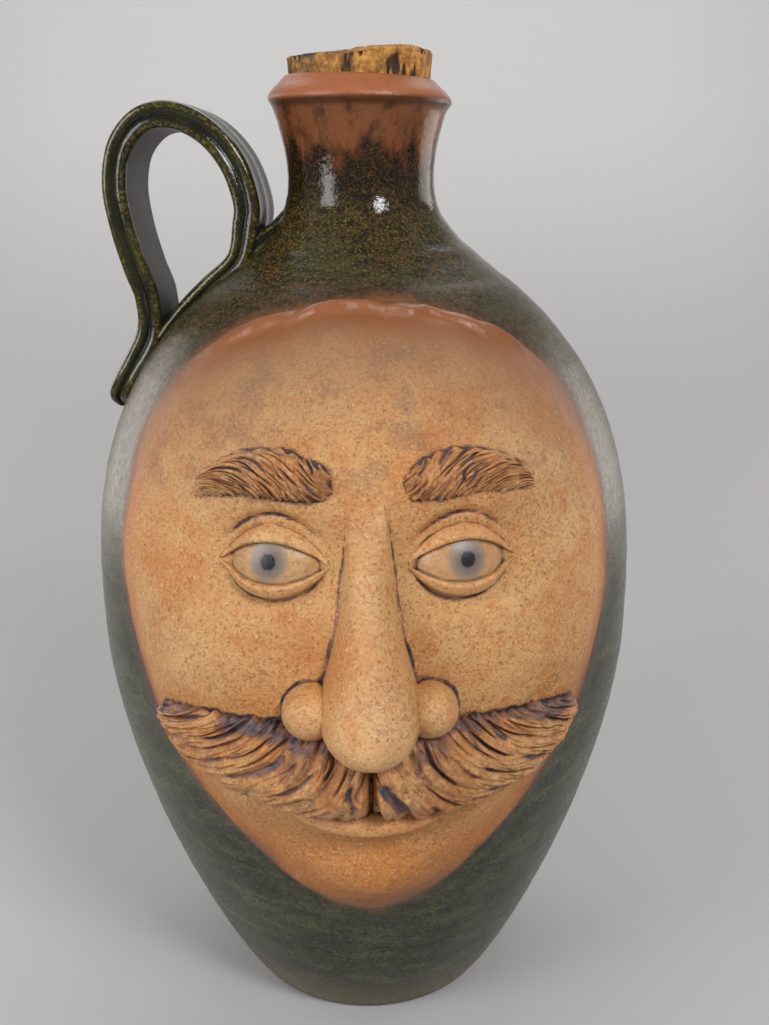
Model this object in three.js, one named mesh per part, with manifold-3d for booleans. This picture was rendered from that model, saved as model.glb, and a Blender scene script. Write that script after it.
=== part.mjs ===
// A stoneware face jug: thrown body, pulled strap handle, cork, and a face built up from pieces of clay.
// Millimetres, +Z up. The origin is the middle of the flat base, and the face looks along -Y.
// Left and right are as seen from the front, so left is at -X, where the handle is.
import * as THREE from "three";
import { mergeVertices } from "three/addons/utils/BufferGeometryUtils.js";
import Module from "manifold-3d";

const { clamp, degToRad, lerp, smoothstep } = THREE.MathUtils;
const wasm = await Module();
wasm.setup();

// Thrown body
const jugHeight = 280; // table to the top of the lip
const baseRadius = 40;
const footChamfer = 1.6;
const bellyRadius = 81;
const bellyHeight = 126;
const shoulderDrop = 56; // from the lip down to where the shoulder turns into the neck
const shoulderRadius = 42.5;
const shoulderSlope = 1.33; // run over rise at that turn
const neckDrop = 28; // from the lip down to the narrowest part of the neck
const neckRadius = 21.2;
const wall = 6;
const baseThickness = 9;
const innerCorner = 9; // rounding between the floor and the wall inside
const neckBore = 16.6;

// Lip and mouth
const lipRadius = 26.2;
const lipDepth = 6.6; // from the top down to the lip's widest edge
const lipRoll = 1.5; // rounding of that edge
const lipUndercut = 5; // from the widest edge down to the end of the neck's flare
const lipFlare = 3.1; // how far the neck flares out below the lip
const rimRound = 0.9; // rounding between the lip's slope and the mouth
const mouthRadius = 20.4;
const mouthTaper = 0.1; // fall of the mouth's radius over its depth
const mouthDepth = 23;

// Cork
const corkSeatDepth = 20;
const corkStandOut = 5.8; // how far the cork stands above the lip
const corkChamfer = 1.2;
const corkChip = 11; // width of the piece broken from the cork's top edge
const corkChipDepth = 2.4;
const chipTurn = degToRad(35); // round the cork from -X towards the face

// Gaps
const seatGap = 0.3; // between a piece and what it is seated on
const rootHeight = 0.6; // how far over the wall the pieces of the face start before they are trimmed
const overrun = 3; // how far a trimming shape passes what it trims
const weld = 1e-4; // corners nearer than this are one corner

// Handle
const handleTurn = degToRad(176.5); // round the jug from +X
const strapWidth = 30; // where it springs from the neck's base
const strapEndWidth = 24; // where it lands on the shoulder
const strapThickness = 7.4;
const strapGroove = 1; // depth of the groove along each edge of the strap
const strapRib = 0.6; // height of the ribs along the strap's outer face
const strapFurrows = 3; // furrows between the ribs
const strapFlatShare = 0.86; // of the half width, before the rounded edge
const strapSink = 1; // how far the strap is pressed into the wall before it is trimmed
const handleReach = 47.4; // from the neck's surface to the middle of the strap at its outermost
const handleTopDrop = 11.4; // from the lip down to the middle of the strap at its top
const handleFootDrop = 46; // from the lip down to where the strap springs from the base of the neck
const handleLandingDrop = 74; // from the lip down to where the strap lands on the shoulder
const handleTail = 19; // length of the tail below the landing
const tailThickness = 6.4;
const tipThickness = 3.8; // at the rounded tip of the tail
const footThickness = 4.4; // of the strip along the shoulder where the strap springs from it
const stripThickness = 2; // of the strip along the shoulder where it meets the landing

// Face panel, measured round the belly (across) and up the wall
const faceTurn = degToRad(1.5);
const faceHalfWidth = 79;
const chinHeight = 54; // table to the lower end of the panel
const faceTopDrop = 58; // from the lip down to the upper end of the panel
const padThickness = 3.2;
const padEdge = 1;
const padSeam = 0.6; // width of the seams between the pads

// Eyes
const eyeWidth = 23;
const eyeSpacing = 23; // from the middle of the face to the middle of an eye
const eyeArchUpper = 5;
const eyeArchLower = 4.2;
const eyeballRadius = 13;
const eyeballStandOut = 6.5; // over the socket
const lidThickness = 1.8;
const lidBreadth = 5;

// Nose
const noseHeight = 20;
const noseHalfWidth = 11.5;
const nostrilRadius = 6.8;
const nostrilStandOut = 10.5;

// Brows, moustache and lip
const browLength = 37;
const browBreadth = 10.5;
const browStandOut = 4.2;
const browGap = 17; // between the two brows
const browArch = 3.4;
const browLockDepth = 0.7;
const moustacheLength = 57;
const moustacheBreadth = 26;
const moustacheStandOut = 8.5;
const moustacheLift = 6; // rise of the tips over the parting
const moustacheFan = 8; // how far the locks lean outwards
const moustachePart = 0.8; // width of the parting
const moustacheLockDepth = 1.4;
const lipHalfWidth = 22;
const lipBreadth = 9;
const lipStandOut = 4.2;
const lipSag = 2.4;
const lipDrop = 14; // from the middle of the moustache down to the middle of the lower lip
const edgeLift = 1.4; // thickness of these pieces at their rims

// Heights of the features, as shares of the panel's height from the chin up
const widestShare = 0.71;
const browShare = 0.75;
const noseTopShare = 0.7;
const eyeShare = 0.645;
const noseBaseShare = 0.4;
const moustacheShare = 0.345;

// The panel's outline, and its seams on the square that it is pulled from, -1 at the chin and 1 on top
const jawShare = 0.3; // how much the panel narrows towards the chin
const featherShare = 0.2; // part of the panel over which the clay thins out to its edge
const browSeamShare = 0.02;
const mouthSeamShare = -0.62;

// Fineness
const bodySides = 40;
const corkSides = 26;
const wallSteps = 40;
const outerSteps = [9, 9, 5];
const hollowSteps = [5, 5, 3];
const flareSteps = 3;
const padColumns = 24;
const padRows = 26;
const handleRings = 28;
const stripRings = 6;
const browLocks = 5;
const moustacheLocks = 6;

const faceTop = jugHeight - faceTopDrop;
const faceHeight = faceTop - chinHeight;
const level = (share) => chinHeight + share * faceHeight;
const widest = level(widestShare);
const shoulderHeight = jugHeight - shoulderDrop;
const neckHeight = jugHeight - neckDrop;

// How far the curves' control points lie along their tangents, chosen for a full belly and a round shoulder
const footPullShares = [0.17, 0.05];
const bellyPullShares = [0.6, 0.2];
const shoulderPullShares = [0.32, 0.55];
const neckPullShare = 0.29;

const at = (radius, height) => new THREE.Vector2(radius, height);
const up = new THREE.Vector3(0, 0, 1);

// The outside of the thrown body from the table to the neck, as curves of radius and height
function bodyCurves() {
  const swell = bellyRadius - baseRadius;
  const rise = shoulderHeight - bellyHeight;
  const drawIn = neckHeight - shoulderHeight;
  const belly = at(bellyRadius, bellyHeight);
  const shoulder = at(shoulderRadius, shoulderHeight);
  const slopeBelow = shoulderPullShares[0] * rise;
  const slopeAbove = shoulderPullShares[1] * drawIn;
  return [
    new THREE.CubicBezierCurve(
      at(baseRadius, 0),
      at(baseRadius + footPullShares[0] * swell, footPullShares[1] * bellyHeight),
      at(bellyRadius, bellyPullShares[0] * bellyHeight),
      belly,
    ),
    new THREE.CubicBezierCurve(
      belly,
      at(bellyRadius, bellyHeight + bellyPullShares[1] * rise),
      at(shoulderRadius + shoulderSlope * slopeBelow, shoulderHeight - slopeBelow),
      shoulder,
    ),
    new THREE.CubicBezierCurve(
      shoulder,
      at(shoulderRadius - shoulderSlope * slopeAbove, shoulderHeight + slopeAbove),
      at(neckRadius, neckHeight - neckPullShare * drawIn),
      at(neckRadius, neckHeight),
    ),
  ];
}

// Points along the joined curves, without the doubled ones where two curves meet
const alongCurves = (curves, steps) =>
  curves.flatMap((curve, i) => curve.getPoints(steps[i]).slice(i ? 1 : 0));

const outward = (from, to) => at(to.y - from.y, from.x - to.x).normalize();

// Each point of an outline moved out along its own normal
function offsetOutline(points, distance) {
  return points.map((point, i) => {
    const from = points[Math.max(i - 1, 0)];
    const to = points[Math.min(i + 1, points.length - 1)];
    return point.clone().addScaledVector(outward(from, to), distance);
  });
}

const wallLine = alongCurves(bodyCurves(), [wallSteps, wallSteps, wallSteps]);
const wallNormals = wallLine.map((point, i) =>
  outward(wallLine[Math.max(i - 1, 0)], wallLine[Math.min(i + 1, wallLine.length - 1)]),
);

// The wall's radius and outward normal at a height
function wallAt(height) {
  const last = wallLine.length - 1;
  const i = Math.max(1, wallLine.findIndex((point) => point.y >= height));
  const above = wallLine[last].y < height ? last : i;
  const [low, high] = [wallLine[above - 1], wallLine[above]];
  const share = Math.min(1, Math.max(0, (height - low.y) / (high.y - low.y)));
  const normal = wallNormals[above - 1].clone().lerp(wallNormals[above], share).normalize();
  return { radius: low.x + share * (high.x - low.x), normal };
}

// A point of the face: so far across, at a height, and so far out from the wall
function place(across, height, out) {
  const { radius, normal } = wallAt(height);
  const angle = faceTurn + across / bellyRadius;
  const reach = radius + out * normal.x;
  return new THREE.Vector3(reach * Math.sin(angle), -reach * Math.cos(angle), height + out * normal.y);
}

// Geometry to solid and back
function solidOf(geometry) {
  const bare = new THREE.BufferGeometry();
  bare.setAttribute("position", geometry.getAttribute("position"));
  bare.setIndex(geometry.getIndex());
  const merged = mergeVertices(bare, weld);
  const triVerts = new Uint32Array(merged.getIndex().array);
  const vertProperties = merged.getAttribute("position").array;
  const make = () => new wasm.Manifold(new wasm.Mesh({ numProp: 3, vertProperties, triVerts }));
  const solid = make();
  if (solid.volume() > 0) return solid;
  for (let i = 0; i < triVerts.length; i += 3) {
    [triVerts[i + 1], triVerts[i + 2]] = [triVerts[i + 2], triVerts[i + 1]];
  }
  return make();
}

function geometryOf(solid) {
  const { vertProperties, triVerts } = solid.getMesh();
  const geometry = new THREE.BufferGeometry();
  geometry.setAttribute("position", new THREE.BufferAttribute(vertProperties, 3));
  geometry.setIndex(new THREE.BufferAttribute(triVerts, 1));
  geometry.computeVertexNormals();
  return geometry;
}

function surface(points, index) {
  const geometry = new THREE.BufferGeometry();
  geometry.setAttribute(
    "position",
    new THREE.Float32BufferAttribute(points.flatMap((point) => point.toArray()), 3),
  );
  geometry.setIndex(index);
  return solidOf(geometry);
}

// A solid turned about the vertical axis from an outline of radius and height
const turned = (outline, sides) =>
  solidOf(new THREE.LatheGeometry(outline, sides).rotateX(Math.PI / 2));

// A closed slab between a front and a back grid of points; leans(row, column) turns a cell's diagonal
function slab(front, back, leans = () => false) {
  const rows = front.length;
  const columns = front[0].length;
  const size = rows * columns;
  const index = [];
  const quad = (a, b, c, d, lean) => {
    index.push(...(lean ? [a, b, c, b, d, c] : [a, b, d, a, d, c]));
  };
  for (let row = 0; row < rows - 1; row++) {
    for (let column = 0; column < columns - 1; column++) {
      const a = row * columns + column;
      const c = a + columns;
      const lean = leans(row, column);
      quad(a, a + 1, c, c + 1, lean);
      quad(size + a + 1, size + a, size + c + 1, size + c, lean);
    }
  }
  for (let column = 0; column < columns - 1; column++) {
    const top = (rows - 1) * columns + column;
    quad(size + column, size + column + 1, column, column + 1);
    quad(top, top + 1, size + top, size + top + 1);
  }
  for (let row = 0; row < rows - 1; row++) {
    const left = row * columns;
    const right = left + columns - 1;
    quad(size + left, left, size + left + columns, left + columns);
    quad(right, size + right, right + columns, size + right + columns);
  }
  return surface([...front.flat(), ...back.flat()], index);
}

// A closed solid through rings of points, each end closed with a fan
function loft(rings) {
  const sides = rings[0].length;
  const index = [];
  const points = rings.flat();
  for (let ring = 0; ring < rings.length - 1; ring++) {
    for (let side = 0; side < sides; side++) {
      const next = (side + 1) % sides;
      const a = ring * sides + side;
      const b = ring * sides + next;
      index.push(a, b, b + sides, a, b + sides, a + sides);
    }
  }
  [0, rings.length - 1].forEach((ring, end) => {
    const middle = new THREE.Vector3();
    rings[ring].forEach((point) => middle.addScaledVector(point, 1 / sides));
    points.push(middle);
    for (let side = 0; side < sides; side++) {
      const a = ring * sides + side;
      const b = ring * sides + ((side + 1) % sides);
      index.push(points.length - 1, end ? a : b, end ? b : a);
    }
  });
  return surface(points, index);
}

const steps = (count) => Array.from({ length: count + 1 }, (_, i) => i / count);

// Thrown body

const outerLine = alongCurves(bodyCurves(), outerSteps);
const hollowLine = alongCurves(bodyCurves(), hollowSteps);

function lipOutline() {
  const edge = jugHeight - lipDepth;
  const flareEnd = at(neckRadius + lipFlare, edge - lipUndercut);
  const flare = new THREE.QuadraticBezierCurve(
    at(neckRadius, neckHeight),
    at(neckRadius, (neckHeight + flareEnd.y) / 2),
    flareEnd,
  );
  return [
    ...flare.getPoints(flareSteps).slice(1),
    at(lipRadius - lipRoll / 4, edge - lipRoll),
    at(lipRadius, edge),
    at(lipRadius - lipRoll / 3, edge + lipRoll),
    at(mouthRadius + rimRound, jugHeight - rimRound / 2),
    at(mouthRadius, jugHeight),
  ];
}

function hollowOutline() {
  const bottom = jugHeight - mouthDepth;
  const bore = at(neckBore, bottom - wall);
  const inner = offsetOutline(hollowLine, -wall).filter(
    (point) => point.x > neckBore && point.y < neckHeight && point.y > baseThickness + innerCorner,
  );
  const low = inner[0];
  return [
    at(mouthRadius - mouthTaper * mouthDepth, bottom),
    bore,
    ...inner.reverse(),
    at(low.x - innerCorner / 3, baseThickness + innerCorner / 3),
    at(low.x - innerCorner, baseThickness),
    at(0, baseThickness),
  ];
}

function jugBody() {
  const foot = [
    at(0, 0),
    at(baseRadius - footChamfer, 0),
    at(wallAt(footChamfer).radius, footChamfer),
  ];
  const sides = outerLine.filter((point) => point.y > footChamfer);
  return turned([...foot, ...sides, ...lipOutline(), ...hollowOutline()], bodySides);
}

// The body without its hollow, one seat gap larger all round, to trim what stands on it
function bodySeat() {
  const line = offsetOutline([...outerLine, ...lipOutline()], seatGap);
  return turned([at(0, -overrun), at(line[0].x, -overrun), ...line, at(0, jugHeight)], bodySides);
}

// Cork

function cork() {
  const lipLine = mouthRadius - seatGap;
  const bottom = jugHeight - corkSeatDepth;
  const top = jugHeight + corkStandOut;
  const low = lipLine - mouthTaper * corkSeatDepth;
  const high = lipLine + mouthTaper * corkStandOut;
  const stopper = turned(
    [
      at(0, bottom),
      at(low - corkChamfer, bottom),
      at(low, bottom + corkChamfer),
      at(high, top - corkChamfer),
      at(high - corkChamfer, top),
      at(0, top),
    ],
    corkSides,
  );
  const chip = new THREE.BoxGeometry(2 * corkChip, 4 * high, 2 * corkChipDepth);
  chip.rotateY(-Math.atan2(corkChipDepth, corkChip));
  chip.translate(-high, 0, top);
  chip.rotateZ(chipTurn);
  return stopper.subtract(solidOf(chip));
}

// Handle

// The strap's section: shares of its half width and half thickness, ribbed outside and grooved on its edges
function strapSection(halfWidth, halfThickness) {
  const groove = 1 - strapGroove / halfWidth;
  const ribs = steps(2 * strapFurrows).map((share) => {
    const wave = Math.cos(2 * Math.PI * strapFurrows * share);
    return [2 * share - 1, 1 + ((strapRib / halfThickness) * (wave - 1)) / 2];
  });
  const edge = (side) => [
    [side, side * 0.5],
    [side * groove, 0],
    [side, side * -0.5],
  ];
  return [
    ...ribs.map(([across, out]) => [across * strapFlatShare, out]),
    ...edge(1),
    ...steps(3).map((share) => [(1 - 2 * share) * strapFlatShare, -1]),
    ...edge(-1),
  ].map(([across, out]) => [across * halfWidth, out * halfThickness]);
}

// A station of the strap on the wall, standing so far out from it
function strapOnWall(height, thickness, width = strapEndWidth) {
  const { radius, normal } = wallAt(height);
  const out = thickness / 2 - strapSink;
  return { radius: radius + out * normal.x, height: height + out * normal.y, thickness, width, wrap: 1 };
}

// A strap swept through stations; wrapped stations bend round the jug, the others stay flat
function strap(stations, count) {
  const route = new THREE.CatmullRomCurve3(
    stations.map(({ radius, height, wrap }) => new THREE.Vector3(radius, height, wrap)),
  );
  const breadths = new THREE.SplineCurve(
    stations.map(({ thickness, width }) => at(width, thickness)),
  );
  const rings = steps(count).map((share) => {
    const middle = route.getPoint(share);
    const along = route.getTangent(share).setZ(0).normalize();
    const breadth = breadths.getPoint(share);
    return strapSection(breadth.x / 2, breadth.y / 2).map(([across, out]) => {
      const radius = middle.x + out * along.y;
      const height = middle.y - out * along.x;
      const wrap = clamp(middle.z, 0, 1);
      const turn = across / radius;
      const x = lerp(radius, radius * Math.cos(turn), wrap);
      const y = lerp(across, radius * Math.sin(turn), wrap);
      return new THREE.Vector3(x, -y, height);
    });
  });
  return loft(rings.map((ring) => ring.map((point) => point.applyAxisAngle(up, handleTurn))));
}

// The free part of the loop: shares of the reach from the neck, and of the height from landing to top
const loopShares = [
  [0.852, 0.2],
  [0.914, 0.355],
  [0.97, 0.52],
  [1, 0.7],
  [0.951, 0.871],
  [0.808, 0.984],
  [0.618, 1],
  [0.428, 0.93],
  [0.283, 0.798],
  [0.213, 0.637],
  [0.222, 0.53],
];
const tailTipShare = 0.5; // of the strap's end width, at the tip of the tail
const tailRoundShares = [0.87, 0.86]; // of the tail's length and the end width, where the tip rounds off
const tailBendShare = 0.6; // of the tail's length, where it starts to thin out

function handle(trim) {
  const foot = jugHeight - handleFootDrop;
  const landing = jugHeight - handleLandingDrop;
  const top = jugHeight - handleTopDrop;
  const widthAt = (share) => lerp(strapEndWidth, strapWidth, share);
  const loop = loopShares.map(([reach, rise], i) => ({
    radius: neckRadius + reach * handleReach,
    height: landing + rise * (top - landing),
    thickness: strapThickness,
    width: widthAt(i / loopShares.length),
    wrap: 0,
  }));
  const tail = [
    strapOnWall(landing - handleTail, tipThickness, tailTipShare * strapEndWidth),
    strapOnWall(
      landing - tailRoundShares[0] * handleTail,
      tailThickness,
      tailRoundShares[1] * strapEndWidth,
    ),
    strapOnWall(landing - tailBendShare * handleTail, tailThickness),
    strapOnWall(landing, strapThickness),
  ];
  const spring = [strapOnWall(foot - strapThickness / 2, tailThickness, strapWidth)];
  const shoulderStrip = steps(4).map((share) =>
    strapOnWall(
      lerp(landing, foot, share),
      lerp(stripThickness, footThickness, share),
      widthAt(share),
    ),
  );
  const looped = strap([...tail, ...loop, ...spring], handleRings);
  return looped.add(strap(shoulderStrip, stripRings)).subtract(trim);
}

// Face panel

// How far the panel's outline spreads at a share of its upper or lower half
const spreadAt = (rise) => (rise < 0 ? 1 - jawShare * rise * rise : Math.hypot(1, rise));
const halfHeightAt = (rise) => (rise < 0 ? widest - chinHeight : faceTop - widest);

// A square from -1 to 1 both ways, pulled into the panel's egg shape: how far across and how high
function panelPoint(x, y) {
  const rise = y * Math.sqrt(1 - (x * x) / 2);
  const across = x * Math.sqrt(1 - (y * y) / 2) * spreadAt(rise);
  return [across * faceHalfWidth, widest + rise * halfHeightAt(rise)];
}

// Swells and hollows of the face: across and up, half width and half height, and height over the panel,
// as shares of the panel's half width, its height and the pads' thickness
const swellShares = [
  [0.27, 0.745, 0.25, 0.07, 1.2],
  [0, 0.72, 0.12, 0.08, 0.7],
  [0, 0.88, 0.5, 0.12, 0.6],
  [0.29, 0.645, 0.17, 0.055, -1.35],
  [0.5, 0.5, 0.25, 0.12, 1.5],
  [0, 0.33, 0.4, 0.12, 1.3],
  [0, 0.2, 0.22, 0.03, -0.5],
  [0, 0.115, 0.23, 0.075, 1.6],
];

// How thick the clay of the panel lies at a place
function relief(across, height) {
  const rise = clamp((height - widest) / halfHeightAt(height - widest), -1, 1);
  const reach = across / (faceHalfWidth * spreadAt(rise));
  const rim = Math.hypot(rise, reach);
  let thickness = padThickness - padEdge;
  swellShares.forEach(([side, lift, wide, tall, share]) => {
    const x = (Math.abs(across) - side * faceHalfWidth) / (wide * faceHalfWidth);
    const y = (height - level(lift)) / (tall * faceHeight);
    thickness += share * padThickness * Math.exp(-x * x - y * y);
  });
  return padEdge + thickness * (1 - smoothstep(rim, 1 - featherShare, 1));
}

const seatDepth = 2 * eyeballRadius;

// One pad: a part of the panel's square. Grown by a gap it trims what is seated on it
function pad([left, right], [low, high], grow) {
  const inset = grow ? -seatGap : padSeam / 2;
  const insetAcross = inset / faceHalfWidth;
  const insetUp = (2 * inset) / faceHeight;
  const from = left > -1 ? left + insetAcross : left;
  const to = right < 1 ? right - insetAcross : right;
  const bottom = low > -1 ? low + insetUp : low;
  const top = high < 1 ? high - insetUp : high;
  const columns = steps(Math.round((padColumns * (right - left)) / 2));
  const rows = steps(Math.round((padRows * (high - low)) / 2));
  const grid = (out) =>
    rows.map((row) =>
      columns.map((column) => {
        const x = lerp(from, to, column);
        const y = lerp(bottom, top, row);
        const [across, height] = panelPoint(x, y);
        return place(across, height, out(across, height));
      }),
    );
  const leans = (row, column) => (left + right) * (columns[column] - 0.5) + (low + high) < 0;
  return slab(
    grid((across, height) => relief(across, height) + grow),
    grid(() => (grow ? -seatDepth : seatGap)),
    leans,
  );
}

const pads = {
  forehead: (grow) => pad([-1, 1], [browSeamShare, 1], grow),
  cheek_left: (grow) => pad([-1, 0], [mouthSeamShare, browSeamShare], grow),
  cheek_right: (grow) => pad([0, 1], [mouthSeamShare, browSeamShare], grow),
  chin: (grow) => pad([-1, 1], [-1, mouthSeamShare], grow),
};

// Pieces of the face

// A piece laid on the panel. point gives a place across and up the panel, for a column from 0 to 1 along the
// piece and a t from -1 to 1 over its breadth, and lift gives the height over the wall there
function laid({ columns, rows, point, lift }, grow) {
  const grid = (out) =>
    steps(rows).map((row) =>
      steps(columns).map((column) => {
        const t = 2 * row - 1;
        const [across, height] = point(column, t, grow);
        return place(across, height, out(column, t, across, height));
      }),
    );
  return slab(
    grid((column, t, across, height) => lift(column, t, across, height) + grow),
    grid(() => (grow ? 0 : rootHeight)),
  );
}

const crown = (t, power) => (1 - t * t) ** power;

// A ball of clay pressed on the panel
function ball(across, height, out, [wide, tall, deep], grow) {
  const geometry = new THREE.SphereGeometry(1, 14, 10);
  const position = geometry.getAttribute("position");
  const point = new THREE.Vector3();
  for (let i = 0; i < position.count; i++) {
    point.fromBufferAttribute(position, i);
    const placed = place(
      across + point.x * (wide + grow),
      height + point.y * (tall + grow),
      out + point.z * (deep + grow),
    );
    position.setXYZ(i, ...placed.toArray());
  }
  return solidOf(geometry);
}

const eyeHeight = level(eyeShare);
const eyeballShape = [eyeballRadius, 0.85 * eyeballRadius, 0.75 * eyeballRadius];
const eyeballOut = relief(eyeSpacing, eyeHeight) + eyeballStandOut - eyeballShape[2];

const eyeball = (side) => (grow) => ball(side * eyeSpacing, eyeHeight, eyeballOut, eyeballShape, grow);

// The height of the eyeball's surface over the wall
function eyeballAt(across, height) {
  const x = (Math.abs(across) - eyeSpacing) / eyeballShape[0];
  const y = (height - eyeHeight) / eyeballShape[1];
  return eyeballOut + eyeballShape[2] * Math.sqrt(Math.max(0, 1 - x * x - y * y));
}

// A lid over the eyeball: sense 1 for the upper and -1 for the lower
const eyelid = (side, sense) => (grow) => {
  const arch = sense > 0 ? eyeArchUpper : eyeArchLower;
  const half = eyeWidth / 2 + lidThickness;
  return laid(
    {
      columns: 12,
      rows: 3,
      point: (column, t) => {
        const x = 2 * column - 1;
        const bow = 1 - x * x;
        const fromEdge = ((1 + sense * t) / 2) * lidBreadth * (0.3 + 0.7 * bow) + grow * t * sense;
        const fromMiddle = seatGap + arch * bow + fromEdge;
        return [side * eyeSpacing + x * (half + grow), eyeHeight + sense * fromMiddle];
      },
      lift: (column, t, across, height) => {
        const overBall = eyeballAt(across, height) + seatGap + lidThickness;
        const overPanel = relief(across, height) + edgeLift;
        return Math.max(overBall, overPanel);
      },
    },
    grow,
  );
};

// The nose from its root to its base: share of the length, of the height and of the half width
const noseShares = [
  [0, 0, 0.2],
  [0.08, 0.07, 0.4],
  [0.22, 0.2, 0.5],
  [0.42, 0.42, 0.6],
  [0.64, 0.72, 0.82],
  [0.82, 0.98, 1],
  [0.93, 0.95, 0.95],
  [1, 0.6, 0.74],
];
const noseRoot = level(noseTopShare);
const noseBase = level(noseBaseShare);
const noseLine = new THREE.CatmullRomCurve3(noseShares.map((row) => new THREE.Vector3(...row)));

function nose(grow) {
  const noseAt = (t) => noseLine.getPoint((1 - t) / 2);
  return laid(
    {
      columns: 10,
      rows: 13,
      point: (column, t) => {
        const shares = noseAt(t);
        const x = 2 * column - 1;
        const height = lerp(noseRoot + grow, noseBase - grow, shares.x);
        return [x * (shares.z * noseHalfWidth + grow), height];
      },
      lift: (column, t, across, height) =>
        relief(0, height) + edgeLift + noseHeight * noseAt(t).y * crown(2 * column - 1, 0.62),
    },
    grow,
  );
}

const nostril = (side) => (grow) => {
  const across = side * (noseHalfWidth + nostrilRadius / 4);
  const height = noseBase + nostrilRadius;
  const shape = [nostrilRadius, nostrilRadius, nostrilStandOut];
  return ball(across, height, relief(across, height), shape, grow);
};

const eyebrow = (side) => (grow) =>
  laid(
    {
      columns: 20,
      rows: 4,
      point: (column, t) => {
        const swell = Math.sin(Math.PI * Math.min(0.5, 1.6 * column));
        const taper = (0.5 + 0.5 * swell) * (1 - 0.6 * column ** 3);
        const along = browGap / 2 - grow + column * (browLength + 2 * grow);
        const arch = browArch * (Math.sin(Math.PI * column * 0.85) - column ** 2);
        return [side * along, level(browShare) + arch + t * ((browBreadth / 2) * taper + grow)];
      },
      lift: (column, t, across, height) => {
        const lock = browLockDepth * Math.cos(2 * Math.PI * (browLocks * column + t / 4));
        const body = (browStandOut + lock) * crown(t, 0.7) * (1 - column ** 4);
        return relief(across, height) + edgeLift + body;
      },
    },
    grow,
  );

const moustache = (side) => (grow) =>
  laid(
    {
      columns: 22,
      rows: 6,
      point: (column, t) => {
        const tip = 0.1 + 0.9 * Math.sqrt(1 - column ** 5);
        const taper = tip * (1 - 0.4 * column ** 2) * (1 - 0.12 * (1 - column) ** 6);
        const tuft = Math.cos(2 * Math.PI * moustacheLocks * column);
        const ragged = moustacheLockDepth * Math.max(0, -t) * tuft;
        const along = moustachePart / 2 - grow + column * (moustacheLength + 2 * grow);
        const sweep = moustacheLift * (column ** 1.5 - 0.2 * Math.sin(Math.PI * column));
        const half = (moustacheBreadth / 2) * taper + grow;
        const fan = moustacheFan * t * (1 - column) * column;
        return [side * (along - fan), level(moustacheShare) + sweep + t * half + ragged];
      },
      lift: (column, t, across, height) => {
        const lock = moustacheLockDepth * Math.cos(2 * Math.PI * (moustacheLocks * column + t / 6));
        const fullness = (1 - 0.75 * column ** 2) * crown(t * 0.94, 0.6);
        return relief(across, height) + edgeLift + (moustacheStandOut + lock / 2) * fullness;
      },
    },
    grow,
  );

function lowerLip(grow) {
  return laid(
    {
      columns: 12,
      rows: 4,
      point: (column, t) => {
        const x = 2 * column - 1;
        const half = (lipBreadth / 2) * (0.25 + 0.75 * (1 - x * x)) + grow;
        const middle = level(moustacheShare) - lipDrop - lipSag * (1 - x * x);
        return [x * (lipHalfWidth + grow), middle + t * half];
      },
      lift: (column, t, across, height) =>
        relief(across, height) + edgeLift + lipStandOut * crown(t, 0.7) * crown(2 * column - 1, 0.8),
    },
    grow,
  );
}

// Every applied piece with what it is seated against, in the order that they are put on
const applied = [
  ["eyeball_left", eyeball(-1), []],
  ["eyeball_right", eyeball(1), []],
  ["upper_eyelid_left", eyelid(-1, 1), ["eyeball_left"]],
  ["upper_eyelid_right", eyelid(1, 1), ["eyeball_right"]],
  ["lower_eyelid_left", eyelid(-1, -1), ["eyeball_left"]],
  ["lower_eyelid_right", eyelid(1, -1), ["eyeball_right"]],
  ["nose", nose, []],
  ["nostril_left", nostril(-1), ["nose"]],
  ["nostril_right", nostril(1), ["nose"]],
  ["eyebrow_left", eyebrow(-1), ["upper_eyelid_left"]],
  ["eyebrow_right", eyebrow(1), ["upper_eyelid_right"]],
  ["moustache_left", moustache(-1), ["nose", "nostril_left"]],
  ["moustache_right", moustache(1), ["nose", "nostril_right"]],
  ["lower_lip", lowerLip, ["moustache_left", "moustache_right"]],
];
const shapes = Object.fromEntries(applied);

const clay = { color: 0xb07448, roughness: 0.85, metalness: 0 };
const darkClay = { color: 0x6b4630, roughness: 0.88, metalness: 0 };
const eyeClay = { color: 0xa89880, roughness: 0.6, metalness: 0 };
const glaze = { color: 0x2f3a26, roughness: 0.22, metalness: 0 };
const corkWood = { color: 0xb08a52, roughness: 0.9, metalness: 0 };

const looks = { eyeball: eyeClay, eyebrow: darkClay, moustache: darkClay };

function named(name, solid, look) {
  const mesh = new THREE.Mesh(geometryOf(solid), new THREE.MeshStandardMaterial(look));
  mesh.name = name;
  return mesh;
}

const jug = new THREE.Group();
jug.add(named("jug_body", jugBody(), glaze));
jug.add(named("handle", handle(bodySeat()), glaze));
jug.add(named("cork", cork(), corkWood));

const face = new THREE.Group();
const padSeats = Object.values(pads).map((shape) => shape(seatGap));
for (const [name, shape] of Object.entries(pads)) {
  face.add(named(name, shape(0), clay));
}
for (const [name, shape, neighbours] of applied) {
  const trims = [...padSeats, ...neighbours.map((other) => shapes[other](seatGap))];
  const solid = trims.reduce((rest, trim) => rest.subtract(trim), shape(0));
  face.add(named(name, solid, looks[name.split("_")[0]] ?? clay));
}
jug.add(face);

export default jug;
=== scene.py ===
import math
from functools import reduce

import bpy
import numpy as np
from mathutils import Matrix, Vector


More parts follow.
